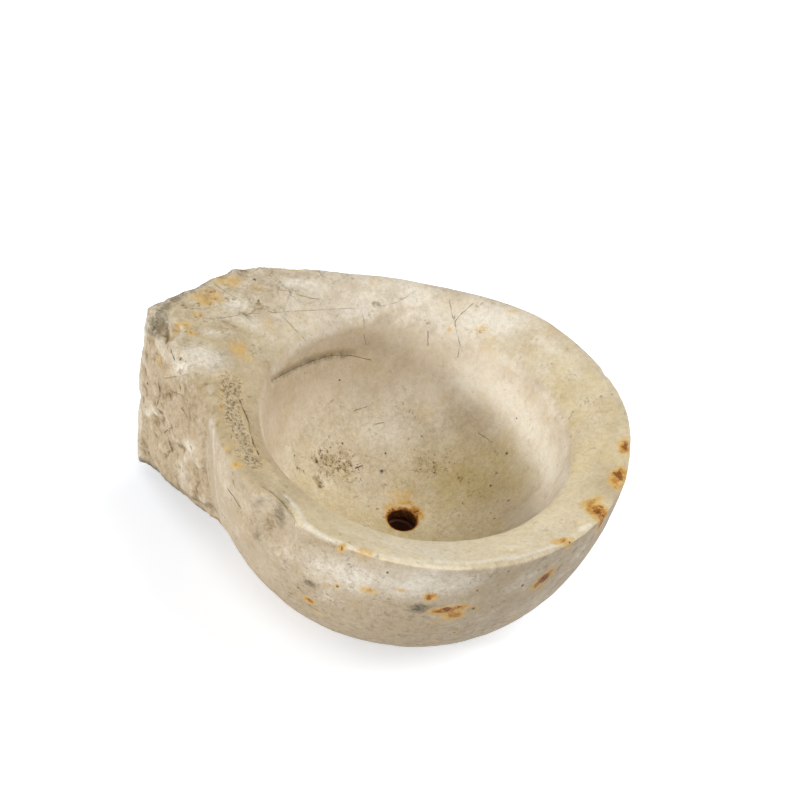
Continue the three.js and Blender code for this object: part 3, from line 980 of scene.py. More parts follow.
    def outside(self, bearing: np.ndarray) -> np.ndarray:
        """The crest, the tail's top, the outer wall, the tail's underside and the bowl down to the base.

        The way down each bearing is a chain of four runs: out over the top, down the wall to the edge
        of the tail's underside, in along that plane to the sphere, and down the sphere. It is then
        divided into even lengths.

        Args:
            bearing: directions round the axis.

        Returns:
            The points, round by along.
        """
        turned = bearing[:, None]
        sine = np.maximum(np.sin(turned), 0.0)
        fall = np.tan(np.radians(self.under_slope)) * sine
        gap = self.under_depth - self.bowl_depth
        square = (gap * fall) ** 2 - (1.0 + fall**2) * (gap**2 - self.bowl_radius**2)
        inner = (-gap * fall + np.sqrt(square)) / (1.0 + fall**2)
        lean, batter = np.tan(np.radians([self.end_lean, self.right_batter]))
        ends = [
            plane_reach(turned, self.left_facing, self.left_offset),
            (self.tail_length - self.under_depth * lean) / np.maximum(sine + lean * fall, 0.05),
        ]
        slant = np.cos(turned - np.radians(self.right_facing)) + batter * fall
        ends.append((self.right_offset - self.under_depth * batter) / np.maximum(slant, 0.05))
        edge = np.minimum.reduce(np.broadcast_arrays(*ends))
        beyond = edge * np.cos(turned - np.radians(self.root_facing)) > self.root_offset
        edge = np.where(beyond, np.maximum(edge, inner), inner)
        edge_height = -self.under_depth - fall * edge
        inner_height = -self.under_depth - fall * inner

        step = np.linspace(0.0, 1.0, 40)[None, :]
        corner = self.wall(turned, np.zeros_like(turned))
        over = self.plan(bearing, self.crest_radius + (corner - self.crest_radius) * step, np.zeros(1))
        over_height = self.top(over)
        down_height = over_height[:, -1:] + (edge_height - over_height[:, -1:]) * step
        down = self.wall(turned, down_height)
        under = down[:, -1:] + (inner - down[:, -1:]) * step
        under_height = edge_height + (inner_height - edge_height) * step
        sphere_top = np.arcsin((inner_height + self.bowl_depth) / self.bowl_radius)
        sphere_foot = np.arcsin((self.bowl_depth - self.height) / self.bowl_radius)
        angle = sphere_top + (sphere_foot - sphere_top) * step
        foot_height = self.bowl_radius * np.sin(angle) - self.bowl_depth
        foot = self.bowl_radius * np.cos(angle)
        radius = np.concatenate([np.linalg.norm(over, axis=-1), down, under, foot], 1)
        height = np.concatenate([over_height, down_height, under_height, foot_height], 1)

        run = np.hypot(np.diff(radius, axis=1), np.diff(height, axis=1)) + 1e-6
        reached = np.concatenate([np.zeros_like(turned), np.cumsum(run, axis=1)], 1)
        reached = 0.999 * reached / reached[:, -1:] + np.arange(len(bearing))[:, None]
        wanted = np.linspace(0.0, 0.999, self.outside_rings, endpoint=False)[None, :]
        wanted = (wanted + np.arange(len(bearing))[:, None]).ravel()
        shape = (len(bearing), self.outside_rings)
        radius = np.interp(wanted, reached.ravel(), radius.ravel()).reshape(shape)
        height = np.interp(wanted, reached.ravel(), height.ravel()).reshape(shape)
        return np.concatenate([self.plan(bearing, radius, np.zeros(1)), height[..., None]], -1)

    def underneath(self, bearing: np.ndarray) -> np.ndarray:
        """The base, the socket's wall and the ring of stone over it that the pipe's flange meets."""
        foot = np.sqrt(self.bowl_radius**2 - (self.height - self.bowl_depth) ** 2)
        count = self.under_rings - 10
        roof = -self.basin_depth - self.drain_lip
        radius = np.concatenate([
            np.linspace(foot, self.socket_mouth, count, endpoint=False),
            np.linspace(self.socket_mouth, self.socket_top, 6, endpoint=False),
            np.linspace(self.socket_top, self.hole_radius, 4, endpoint=False),
        ])
        height = np.concatenate([
            np.full(count, -self.height),
            np.linspace(-self.height, roof, 6, endpoint=False),
            np.full(4, roof),
        ])
        plan = self.plan(bearing, radius, 1.0 - ramp(radius, self.socket_mouth, foot))
        height = np.broadcast_to(height, plan.shape[:-1])
        return np.concatenate([plan, height[..., None]], -1)

    def carve(self) -> np.ndarray:
        """The block as its mason left it: the four parts of the surface, joined."""
        bearing = self.bearings()
        parts = [self.basin(bearing), self.rim(bearing), self.outside(bearing), self.underneath(bearing)]
        return np.concatenate(parts, 1)

    def wear(self, grid: np.ndarray) -> np.ndarray:
        """Rounds the lip, the crest and the tail's upper arris, and leaves the socket crisp.

        Args:
            grid: the carved points.

        Returns:
            The worn points.
        """
        ring = np.arange(grid.shape[1])[None, :]
        bearing = np.degrees(self.bearings())[:, None]
        sunk = ring >= self.basin_rings + self.rim_rings + self.outside_rings
        back = 1.0 - 0.8 * ramp(np.cos(np.radians(bearing - 235.0)), 0.05, 0.75)
        lip = np.exp(-(((ring - self.basin_rings) / 7.0) ** 2))
        crest = np.exp(-(((ring - self.basin_rings - self.rim_rings) / 5.0) ** 2))
        flank = ramp(bearing, 114.0, 124.0) * (1.0 - ramp(bearing, 142.0, 150.0))
        arris = flank * np.exp(-((grid[..., 2] / 16.0) ** 2)) * (ring > self.basin_rings + self.rim_rings)
        grid = wear_round(grid, 7, np.where(sunk | (ring < 6), 0.25, 1.0) * np.ones_like(bearing))
        grid = wear_round(grid, 60, arris * ~sunk)
        grid = wear_round(grid, 34, crest * np.ones_like(bearing))
        broken = ramp(bearing, 126.0, 138.0) * (1.0 - ramp(bearing, 184.0, 200.0))
        blunt = np.exp(-(((ring - self.basin_rings - self.rim_rings - 2.0) / 9.0) ** 2))
        grid = wear_round(grid, 150, blunt * broken)
        return wear_round(grid, 90, lip * back)

    def breaks(self) -> list[Break]:
        """What is broken out of the tail's corner and off the wall under the rim."""
        left = np.radians(self.left_facing)
        corner_x = (self.left_offset - self.tail_length * np.sin(left)) / np.cos(left)
        chip = np.radians(184.0)
        edge = self.rim_radius - 2.0
        return [
            Break((corner_x - 1.0, self.tail_length - 28.0, 0.0), (15.0, 12.0, 13.0), self.left_facing - 90.0,
                  (0.5, -0.3, -0.6), 0.35, 5),
            Break((edge * np.cos(chip), edge * np.sin(chip), -23.0), (25.0, 8.0, 29.0), 274.0,
                  (-np.cos(chip), -np.sin(chip), -0.2), 0.35, 25),
        ]

    def weather(self, grid: np.ndarray, camera: PhotoCamera) -> tuple[np.ndarray, np.ndarray]:
        """Breaks, hews, nicks and wears the stone.

        The tail's flank gets chips of two sizes and lumps, its top lower ones, the worked faces slow
        waves, and the breaks a coarse grain. All of it goes along the surface's own directions.

        Args:
            grid: the carved points.
            camera: through which the nicks and crevices are placed.

        Returns:
            The weathered points, and how raw the stone is at each, from 0 to 1.
        """
        fresh = np.zeros(grid.shape[:-1])
        for one in self.breaks():
            grid, share = one.take(grid)
            fresh = np.maximum(fresh, share)
        raw = stain_fields(grid, camera, CRUMBLED)[Mark.RAW]
        hewn_top, hewn_side = self.hewn(grid)
        side = 3.6 * facets(grid, 33.0, 40, 10.0) + 1.9 * facets(grid, 16.0, 60) + 1.1 * facets(grid, 8.0, 80)
        top = 2.6 * facets(grid, 33.0, 47, 8.0) + 1.6 * facets(grid, 14.0, 67) + 0.9 * cloud(grid, 12.0, 87, 2)
        corner = ramp(grid[..., 1], self.tail_length - 40.0, self.tail_length - 8.0)
        corner *= ramp(-grid_normals(grid)[..., 0], 0.3, 0.7)
        side = (side - 1.4) * (1.0 - 0.5 * corner) - 1.2 * corner
        depth = np.maximum(hewn_side * side + hewn_top * (top - 0.8), -2.8)
        foot = grid[..., 2] + self.under_depth + np.tan(np.radians(self.under_slope)) * grid[..., 1]
        depth += 4.5 * hewn_side * ramp(foot, 18.0, 0.0) * ramp(grid[..., 1], 215.0, 150.0)
        worked = 1.0 - np.maximum(hewn_side, hewn_top)
        depth += 0.9 * worked * cloud(grid, 46.0, 100, 2)
        depth += 0.4 * worked * cloud(grid, 11.0, 110, 2)
        crumbs = 0.7 * cloud(grid, 7.0, 120) + 1.1 * facets(grid, 8.0, 130)
        depth += (2.2 * np.minimum(raw, 1.0) + 1.0 * fresh) * crumbs
        seen = stone_tree(grid)
        for nick in NICKS:
            line = camera.trail(seen, nick.through)
            depth += nick.deep * np.clip(1.0 - (line_gap(grid, line) / nick.wide) ** 2, 0.0, None) ** 2
        sunk = np.arange(grid.shape[1]) >= self.basin_rings + self.rim_rings + self.outside_rings
        depth = np.where(sunk[None, :], 0.0, depth)
        return grid - depth[..., None] * grid_normals(grid), raw

    def hewn(self, grid: np.ndarray) -> tuple[np.ndarray, np.ndarray]:
        """How roughly hewn the stone is on the tail's top, with the rim before it, and on its sides."""
        bearing = np.arctan2(grid[..., 1], grid[..., 0])
        out = np.linalg.norm(grid[..., :2], axis=-1) - self.bowl_wall(bearing, grid[..., 2])
        tail = ramp(out, 0.0, 10.0)
        outside = np.arange(grid.shape[1]) >= self.basin_rings
        on_top = ramp(grid_normals(grid)[..., 2], 0.3, 0.8) * outside
        turn = np.degrees(bearing)
        behind = ramp(turn, 60.0, 80.0) * (1.0 - ramp(turn, 140.0, 155.0))
        top = np.maximum(tail, behind * ramp(out, -34.0, 2.0)) * on_top
        return top, tail * (1.0 - on_top)

    def zones(self, grid: np.ndarray) -> dict[Mark, np.ndarray]:
        """What the stone shows by itself: films in the basin, darker hollows and paler ridges that are partly dirt and
        wear and partly painted shade and light, and painted shade under the tail.

        A hollow, crevice or ridge is how far the surface lies from a smoothed copy of itself.

        Args:
            grid: the weathered points.

        Returns:
            How strong each kind of mark is at each point.
        """
        ring = np.arange(grid.shape[1])[None, :]
        radius = np.linalg.norm(grid[..., :2], axis=-1)
        bearing = np.degrees(np.arctan2(grid[..., 1], grid[..., 0]))
        normals = grid_normals(grid)
        inner = 1.0 - ramp(ring, self.basin_rings - 3.0, self.basin_rings + 3.0) * np.ones_like(radius)
        sunken = inner * ramp(-grid[..., 2], self.lip_depth, self.basin_depth)
        front, left, right = (0.5 + 0.5 * np.cos(np.radians(bearing - way)) for way in (215.0, 150.0, -30.0))
        rim = (1.0 - inner) * ramp(normals[..., 2], 0.35, 0.75)
        outer = (1.0 - inner) - rim
        hewn_top, hewn_side = self.hewn(grid)
        hewn = np.maximum(hewn_top, hewn_side)
        hollow, crevice = (
            ((wear_round(grid, passes, np.ones_like(radius)) - grid) * normals).sum(-1) for passes in (30, 5)
        )
        low = ramp(-grid[..., 2], 0.35 * self.height, 0.9 * self.height)
        end = ramp(grid[..., 1], self.tail_length - 16.0, self.tail_length - 2.0)
        pipe = ramp(ring, 5.0, 3.0) * np.ones_like(radius)
        foot = grid[..., 2] + self.under_depth + np.tan(np.radians(self.under_slope)) * grid[..., 1]
        under = hewn_side * np.maximum(ramp(-normals[..., 2], 0.1, 0.7), ramp(foot, 9.0, 3.0))
        on_outer = 0.58 + 0.15 * left + 0.27 * right**2 + 0.3 * low + 0.22 * cloud(grid, 60.0, 150, 2)
        # the first two terms darken the hewn tail's hollows and crevices: partly dirt, partly painted shade that shows
        # its relief
        soil_and_shade = [
            0.7 * ramp(hollow, 0.1, 1.5) * hewn, 1.15 * ramp(crevice, 0.1, 0.5) * hewn, 0.4 * hewn_top,
            0.45 * hewn_side, outer * on_outer + rim * (0.8 * left**5 + 0.35 * right**3), 0.9 * pipe,
            0.36 * ramp(sunken, 0.45, 0.8),
        ]
        grit = [
            0.9 * inner, 1.3 * rim + 1.45 * outer, 1.7 * ramp(sunken, 0.3, 0.8),
            1.8 * hewn_top, 1.8 * hewn_side,
        ]
        return {
            Mark.OLIVE: np.maximum(
                ramp(sunken, 0.5, 0.95) * (0.3 + 0.45 * front), rim * (0.6 * left**3 + 0.5 * right**3)
            ),
            Mark.ROSE: np.maximum(inner * (1.0 - ramp(sunken, 0.3, 0.9)) * (1.0 - 0.7 * right), 0.7 * hewn_side),
            Mark.PITS: ramp(sunken, 0.25, 0.6) * (0.65 + 0.1 * left),
            Mark.SOIL_AND_SHADE: np.maximum.reduce(soil_and_shade),
            # paler ridges on the hewn tail: partly wear, partly painted light that shows its relief
            Mark.PALE_AND_HIGHLIGHT: np.maximum(
                hewn * np.maximum(0.6 * ramp(-hollow, 0.2, 1.5), 0.35 * ramp(-crevice, 0.1, 0.5)),
                outer * (1.0 - hewn) * (0.6 * cloud(grid, 60.0, 160, 2) - 0.1),
            ),
            Mark.HONEY: np.maximum(rim * (0.9 * front + 0.2 * right), 0.4 * ramp(sunken, 0.3, 0.7)),
            # ash on the tail's end face, and painted shade on its downward faces and along its foot
            Mark.ASH_AND_SHADE: np.maximum(0.4 * end * (1.0 - inner), 0.9 * under),
            Mark.RUST: 1.6 * pipe,
            Mark.HEWN: hewn,
            Mark.GRIT: np.maximum.reduce(grit),
        }

    def build(self, camera: PhotoCamera, shift: np.ndarray) -> bpy.types.Object:
        """Makes the stone's mesh and writes its marks as attributes.

        Args:
            camera: the photograph's camera, through which marks are placed.
            shift: the bowl's axis and rim in the frame, in mm.

        Returns:
            The piece, riding on the one body and standing for the CAD's block.
        """
        grid, raw = self.weather(self.wear(self.carve()), camera)
        low, high = (np.array(corner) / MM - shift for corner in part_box("stone_block"))
        grid = np.clip(grid, low, high)
        piece = grid_piece("stone_block_worn", grid, shift)
        fields = self.zones(grid)
        fields[Mark.RAW] = raw
        fields[Mark.GRIT] = np.maximum(fields[Mark.GRIT], 1.8 * raw)
        for mark, values in stain_fields(grid, camera, STAINS_AND_PAINTED_LIGHT).items():
            fields[mark] = np.maximum(fields.get(mark, 0.0), values)
        for mark, values in fields.items():
            write_field(piece.data, mark.value, values)
        for name, traces in (("crack", CRACKS), ("crevice", CREVICES), ("pinhole", PINHOLES)):
            way, far = trace_fields(grid, camera, traces)
            write_field(piece.data, name + "_way", way)
            write_field(piece.data, name + "_far", far)
        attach(piece, "root")
        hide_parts("stone_block")
        return piece


@dataclass
class DrainPipe:
    """The flanged iron pipe under the drain hole: a closed ring of rusted section."""

    bore: float = 10.5
    outside: float = 14.5
    flange: float = 18.5
    flange_thick: float = 5.0
    top: float = -144.3
    foot: float = -176.0
    rounds: int = 96
    rust_loss: float = 0.7  # deepest that rust has eaten

    def profile(self) -> np.ndarray:
        """Radius and height round the section: up the bore, over the flange, down the outside."""
        under = self.top - self.flange_thick
        return np.array([
            (self.bore, self.foot), (self.bore, self.top), (self.flange, self.top),
            (self.flange, under), (self.outside, under), (self.outside, self.foot),
        ])

    def build(self, drain: Pixel, shift: np.ndarray) -> bpy.types.Object:
        """Makes the pipe's mesh.

        Args:
            drain: the drain's axis from the bowl's, in mm.
            shift: the bowl's axis and rim in the frame, in mm.

        Returns:
            The piece, standing for the CAD's pipe.
        """
        grid = turned_grid(self.profile(), drain, self.rounds, 1.2)
        loss = self.rust_loss * (0.5 + 0.5 * cloud(grid, 5.0, 200, 3))
        piece = grid_piece("drain_pipe_rusted", grid - loss[..., None] * grid_normals(grid), shift)
        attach(piece, "root")
        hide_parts("drain_pipe")
        return piece


@dataclass
class LeadSeal:
    """Lead run in round the pipe: a closed ring whose lower face sank a little as it cooled."""

    around_pipe: float = 14.8
    around_flange: float = 18.8
    mouth: float = 22.51
    top_radius: float = 24.28
    top: float = -144.3
    step: float = -149.6
    foot: float = -178.0
    rounds: int = 96
    dress: float = 0.5  # deepest mark of the caulking tool

    def profile(self) -> np.ndarray:
        """Radius and height round the section: up the pipe, over the flange and down the socket."""
        return np.array([
            (self.around_pipe, self.foot), (self.around_pipe, self.step), (self.around_flange, self.step),
            (self.around_flange, self.top), (self.top_radius, self.top), (self.mouth, self.foot),
        ])

    def build(self, drain: Pixel, shift: np.ndarray) -> bpy.types.Object:
        """Makes the seal's mesh.

        Args:
            drain: the drain's axis from the bowl's, in mm.
            shift: the bowl's axis and rim in the frame, in mm.

        Returns:
            The piece, standing for the CAD's seal.
        """
        grid = turned_grid(self.profile(), drain, self.rounds, 1.5)
        dents = self.dress * (0.5 + 0.5 * facets(grid, 6.0, 230))
        piece = grid_piece("lead_seal_dressed", grid - dents[..., None] * grid_normals(grid), shift)
        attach(piece, "root")
        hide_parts("lead_seal")
        return piece


def linear(colour: str) -> tuple[float, float, float, float]:
    """An sRGB hex colour as linear red, green, blue and alpha."""
    parts = np.array([int(colour[i : i + 2], 16) / 255.0 for i in (1, 3, 5)])
    parts = np.where(parts <= 0.04045, parts / 12.92, ((parts + 0.055) / 1.055) ** 2.4)
    return (*parts.tolist(), 1.0)


def add(
    tree: bpy.types.NodeTree, kind: str, inputs: dict[int | str, object] | None = None, **settings: object
) -> bpy.types.Node:
    """Adds a node, sets its properties, and links or sets its inputs.

    Args:
        tree: where it goes.
        kind: the node's type, without its ShaderNode prefix.
        inputs: a socket to link from, or a value, for each input named or numbered.
        settings: the node's own properties.

    Returns:
        The node.
    """
    node = tree.nodes.new("ShaderNode" + kind)
    for name, value in settings.items():
        setattr(node, name, value)
    for key, value in (inputs or {}).items():
        if isinstance(value, bpy.types.NodeSocket):
            tree.links.new(value, node.inputs[key])
        else:
            node.inputs[key].default_value = value
    return node


def per_mm(size: float) -> float:
    """The scale of a pattern whose features are a size in mm wide, on coordinates in metres."""
    return 1.0 / (size * MM)


def new_material(name: str) -> bpy.types.NodeTree:
    """An empty material's node tree."""
    material = bpy.data.materials.new(name)
    material.use_nodes = True
    material.node_tree.nodes.clear()
    return material.node_tree


def wear_material(piece: bpy.types.Object, name: str) -> None:
    """Gives a piece one material by its name."""
    piece.data.materials.clear()
    piece.data.materials.append(bpy.data.materials[name])


@dataclass(frozen=True)
class WornMarble:
    """Carved marble, centuries old: a matt cream stone with soft clouds, stained by iron and damp, with some shade and
    highlights painted into its films.
    """

    name: str = "worn_carved_marble"
    cream: str = "#e6dcca"
    shade: str = "#cfc1aa"
    tints: tuple[str, str, str] = ("#d9c294", "#e9e4da", "#b9a68c")  # yellow, white and brown mottles
    crack: str = "#66563f"
    crevice: str = "#4f3a20"
    hole: str = "#2b1c12"
    cloud_size: float = 70.0
    mottle_size: float = 22.0
    grit_size: float = 4.0
    speck_size: float = 6.0
    dirt: tuple[float, float, float] = (-0.26, -0.31, -0.39)  # light that dirt takes, blue most
    vein_size: float = 34.0
    roughness: float = 0.58
    ior: float = 1.4  # below marble's own: the weathered skin is dull
    layers: tuple[Layer, ...] = field(default_factory=lambda: STONE_LAYERS)

    def make(self) -> None:
        """Builds the material: clouds and mottles, then the layers, specks, cracks and holes, and grit."""
        tree = new_material(self.name)
        place = add(tree, "TexCoord").outputs["Object"]
        marks = {mark: add(tree, "Attribute", attribute_name=mark.value).outputs["Fac"] for mark in Mark}
        wide = add(tree, "TexNoise", {"Vector": place, "Scale": per_mm(self.cloud_size), "Detail": 5.0})
        spread = add(tree, "MapRange", {0: wide.outputs["Fac"], 1: 0.35, 2: 0.65}).outputs[0]
        base = add(tree, "Mix", {0: spread, 6: linear(self.cream), 7: linear(self.shade)}, data_type="RGBA").outputs[2]
        mottles = add(tree, "TexNoise", {
            "Vector": place, "Scale": per_mm(self.mottle_size), "Detail": 6.0, "Roughness": 0.72,
        })
        parts = add(tree, "SeparateColor", {0: mottles.outputs["Color"]}).outputs
        for part, tint in zip(parts, self.tints):
            share = add(tree, "MapRange", {0: part, 1: 0.48, 2: 0.7, 4: 0.65}).outputs[0]
            base = add(tree, "Mix", {0: share, 6: base, 7: linear(tint)}, data_type="RGBA").outputs[2]
        base = self.vein(tree, place, marks[Mark.HEWN], base)
        for i, layer in enumerate(self.layers):
            base = self.lay(tree, place, marks[layer.mark], layer, base, i + 10.0)
        base, crack = self.draw(tree, place, "crack", base, self.crack, 0.6, 11.0, 9.0)
        base, crevice = self.draw(tree, place, "crevice", base, self.crevice, 0.8, 6.0, 3.0)
        base, hole = self.draw(tree, place, "pinhole", base, self.hole, 0.9, 2.0, 2.5)
        grit, specks = (
            add(tree, "TexNoise", {"Vector": place, "Scale": per_mm(size), "Detail": 3.0, "Roughness": 0.85}).outputs[0]
            for size in (self.grit_size, self.speck_size)
        )
        groups = add(tree, "MapRange", {0: parts[1], 1: 0.45, 2: 0.62, 4: 1.3}).outputs[0]
        groups = add(tree, "Math", {0: groups, 1: marks[Mark.GRIT]}, operation="MULTIPLY").outputs[0]
        height = 0.0
        light = (1.0, 1.0, 1.0)
        for noise, clean, full, where, share in (
            (grit, 0.6, 0.36, marks[Mark.GRIT], 0.4), (specks, 0.43, 0.3, groups, 0.9),
            (mottles.outputs["Fac"], 0.5, 0.3, marks[Mark.HEWN], 0.8),
        ):
            dark = add(tree, "MapRange", {0: noise, 1: clean, 2: full, 4: share}).outputs[0]
            dark = add(tree, "Math", {0: dark, 1: where}, operation="MULTIPLY").outputs[0]
            light = add(tree, "VectorMath", {0: dark, 1: self.dirt, 2: light}, operation="MULTIPLY_ADD").outputs[0]
            height = add(tree, "Math", {0: dark, 1: -0.35, 2: height}, operation="MULTIPLY_ADD").outputs[0]
        base = add(tree, "VectorMath", {0: base, 1: light}, operation="MULTIPLY").outputs[0]
        for part, deep in ((crack, -0.7), (crevice, -1.0), (hole, -1.2)):
            height = add(tree, "Math", {0: part, 1: deep, 2: height}, operation="MULTIPLY_ADD").outputs[0]
        relief = add(tree, "Bump", {"Strength": 1.0, "Distance": MM, "Height": height}).outputs[0]
        matt = add(tree, "MapRange", {0: grit, 3: self.roughness - 0.15, 4: self.roughness + 0.15}).outputs[0]
        matt = add(tree, "Math", {0: marks[Mark.HEWN], 1: 0.15, 2: matt}, operation="MULTIPLY_ADD").outputs[0]
        shader = add(tree, "BsdfPrincipled", {
            "Base Color": base, "Roughness": matt, "IOR": self.ior, "Normal": relief,
        })
        add(tree, "OutputMaterial", {"Surface": shader.outputs[0]})

    def vein(
        self, tree: bpy.types.NodeTree, place: bpy.types.NodeSocket, hewn: bpy.types.NodeSocket,
        base: bpy.types.NodeSocket,
    ) -> bpy.types.NodeSocket:
        """Draws a net of hairlines on the hewn stone: edges of warped cells, some of them faint.

        Args:
            tree: the material's nodes.
            place: coordinates.
            hewn: where the stone is hewn.
            base: the colour so far.

        Returns:
            The colour with the hairlines.
        """
        noise = add(tree, "TexNoise", {"Vector": place, "Scale": per_mm(26.0), "Detail": 4.0, "Roughness": 0.6})
        bend = (self.vein_size * MM,) * 3
        warped = add(tree, "VectorMath", {0: noise.outputs["Color"], 1: bend, 2: place}, operation="MULTIPLY_ADD")
        cells = add(tree, "TexVoronoi", {"Vector": warped.outputs[0], "Scale": per_mm(self.vein_size)},
                    feature="DISTANCE_TO_EDGE").outputs["Distance"]
        line = add(tree, "MapRange", {0: cells, 1: 0.035, 2: 0.0, 3: 0.0, 4: 0.75}).outputs[0]
        kept = add(tree, "MapRange", {0: noise.outputs["Fac"], 1: 0.4, 2: 0.55}).outputs[0]
        strength = add(tree, "Math", {0: kept, 1: hewn}, operation="MULTIPLY").outputs[0]
        share = add(tree, "Math", {0: line, 1: strength}, operation="MULTIPLY").outputs[0]
        return add(tree, "Mix", {0: share, 6: base, 7: linear(self.crack)}, data_type="RGBA").outputs[2]

    def lay(
        self, tree: bpy.types.NodeTree, place: bpy.types.NodeSocket, mark: bpy.types.NodeSocket, layer: Layer,
        base: bpy.types.NodeSocket, seed: float,
    ) -> bpy.types.NodeSocket:
        """Lays one film of colour over what is there.

        Args:
            tree: the material's nodes.
            place: coordinates.
            mark: how strong the film's mark is.
            layer: the film.
            base: the colour under it.
            seed: which noise frays it.

        Returns:
            The colour with the film.
        """
        noise = add(tree, "TexNoise", {
            "Vector": place, "W": seed, "Scale": per_mm(layer.grain), "Detail": 5.0, "Roughness": 0.75,
        }, noise_dimensions="4D").outputs["Fac"]
        fray = {0: noise, 1: 2.0 * layer.ragged, 2: 1.0 - layer.ragged}
        frayed = add(tree, "Math", fray, operation="MULTIPLY_ADD").outputs[0]
        strong = add(tree, "Math", {0: mark, 1: frayed}, operation="MULTIPLY").outputs[0]
        share = add(tree, "MapRange", {0: strong, 1: layer.start, 2: layer.full, 4: layer.most},
                    interpolation_type="SMOOTHSTEP").outputs[0]
        return add(tree, "Mix", {0: share, 6: base, 7: linear(layer.colour)}, data_type="RGBA").outputs[2]

    def draw(
        self, tree: bpy.types.NodeTree, place: bpy.types.NodeSocket, name: str, base: bpy.types.NodeSocket,
        colour: str, most: float, wander: float, stray: float,
    ) -> tuple[bpy.types.NodeSocket, bpy.types.NodeSocket]:
        """Draws cracks or holes from the way to the nearest one, in half widths, made to wander.

        Args:
            tree: the material's nodes.
            place: coordinates.
            name: first part of the attributes' names.
            base: the colour so far.
            colour: the crack's.
            most: how much of it shows.
            wander: length of a bend, in mm.
            stray: how far a bend goes, in half widths.

        Returns:
            The colour, and where the cracks are.
        """
        way = add(tree, "Attribute", attribute_name=name + "_way").outputs["Vector"]
        far = add(tree, "Attribute", attribute_name=name + "_far").outputs["Fac"]
        noise = add(tree, "TexNoise", {"Vector": place, "Scale": per_mm(wander), "Detail": 4.0, "Roughness": 0.6})
        strays = add(tree, "VectorMath", {0: noise.outputs["Color"], 1: (0.5, 0.5, 0.5)}, operation="SUBTRACT")
        moved = add(tree, "VectorMath", {0: strays.outputs[0], 1: (stray,) * 3, 2: way}, operation="MULTIPLY_ADD")
        length = add(tree, "VectorMath", {0: way}, operation="LENGTH").outputs["Value"]
        along = add(tree, "VectorMath", {0: way, 1: moved.outputs[0]}, operation="DOT_PRODUCT").outputs["Value"]
        gap = add(tree, "Math", {0: along, 1: length}, operation="DIVIDE").outputs[0]
        gap = add(tree, "Math", {0: gap}, operation="ABSOLUTE").outputs[0]
        line = add(tree, "MapRange", {0: gap, 1: 1.5, 2: 0.3, 3: 0.0, 4: most}).outputs[0]
        near = add(tree, "MapRange", {0: far, 1: 5.0, 2: 4.0}).outputs[0]
        kept = add(tree, "MapRange", {0: noise.outputs["Fac"], 1: 0.36, 2: 0.5, 3: 0.4}).outputs[0]
        near = add(tree, "Math", {0: near, 1: kept}, operation="MULTIPLY").outputs[0]
        share = add(tree, "Math", {0: line, 1: near}, operation="MULTIPLY").outputs[0]
        mixed = add(tree, "Mix", {0: share, 6: base, 7: linear(colour)}, data_type="RGBA").outputs[2]
        return mixed, share


@dataclass(frozen=True)
class DullMetal:
    """A metal under its own crust: two tones in patches, and pits."""

    name: str
    tones: tuple[str, str, str]
    patch: float  # mm
    metallic: float
    roughness: float
    relief: float  # mm

    def make(self) -> None:
        """Builds the material: three tones by two noises, with the finer one as relief."""
        tree = new_material(self.name)
        place = add(tree, "TexCoord").outputs["Object"]
        coarse = add(tree, "TexNoise", {"Vector": place, "Scale": per_mm(self.patch), "Detail": 5.0})
        finer = add(tree, "TexNoise", {"Vector": place, "Scale": per_mm(self.patch / 4.0), "Detail": 4.0})
        first = add(tree, "MapRange", {0: coarse.outputs["Fac"], 1: 0.4, 2: 0.6}).outputs[0]
        second = add(tree, "MapRange", {0: finer.outputs["Fac"], 1: 0.52, 2: 0.7}).outputs[0]
        base = add(tree, "Mix", {0: first, 6: linear(self.tones[0]), 7: linear(self.tones[1])}, data_type="RGBA")
        base = add(tree, "Mix", {0: second, 6: base.outputs[2], 7: linear(self.tones[2])}, data_type="RGBA")
        bump = add(tree, "Bump", {"Distance": self.relief * MM, "Height": finer.outputs["Fac"]}).outputs[0]
        shader = add(tree, "BsdfPrincipled", {
            "Base Color": base.outputs[2], "Metallic": self.metallic, "Roughness": self.roughness, "Normal": bump,
        })
        add(tree, "OutputMaterial", {"Surface": shader.outputs[0]})


# Iron that has rusted through: a dark brown crust with orange bloom, dry and matt.
RUSTED_IRON = DullMetal("rusted_iron", ("#1c0f08", "#38200f", "#6b4420"), 7.0, 0.0, 0.85, 0.8)
# Cast lead under its oxide: soft dull grey with pale carbonate.
DULL_LEAD = DullMetal("oxidised_lead", ("#63666a", "#7d8083", "#a4a6a5"), 9.0, 0.7, 0.6, 0.3)


@dataclass(frozen=True)
class Lamp:
    """A soft studio lamp, far enough off to light every side of the stoup alike."""

    name: str
    bearing: float  # degrees round the bowl
    rise: float  # degrees above the floor
    power: float  # W per square metre
    spread: float  # degrees across, as the stoup sees it

    def hang(self) -> None:
        """Hangs the lamp and turns it towards the stoup."""
        data = bpy.data.lights.new(self.name, "SUN")
        data.energy = self.power
        data.angle = np.radians(self.spread)
        lamp = bpy.data.objects.new(self.name, data)
        turn, rise = np.radians([self.bearing, self.rise])
        way = Vector((np.cos(turn) * np.cos(rise), np.sin(turn) * np.cos(rise), np.sin(rise)))
        lamp.rotation_euler = way.to_track_quat("Z", "Y").to_euler()
        lamp.location = way * 3.0
        bpy.context.scene.collection.objects.link(lamp)


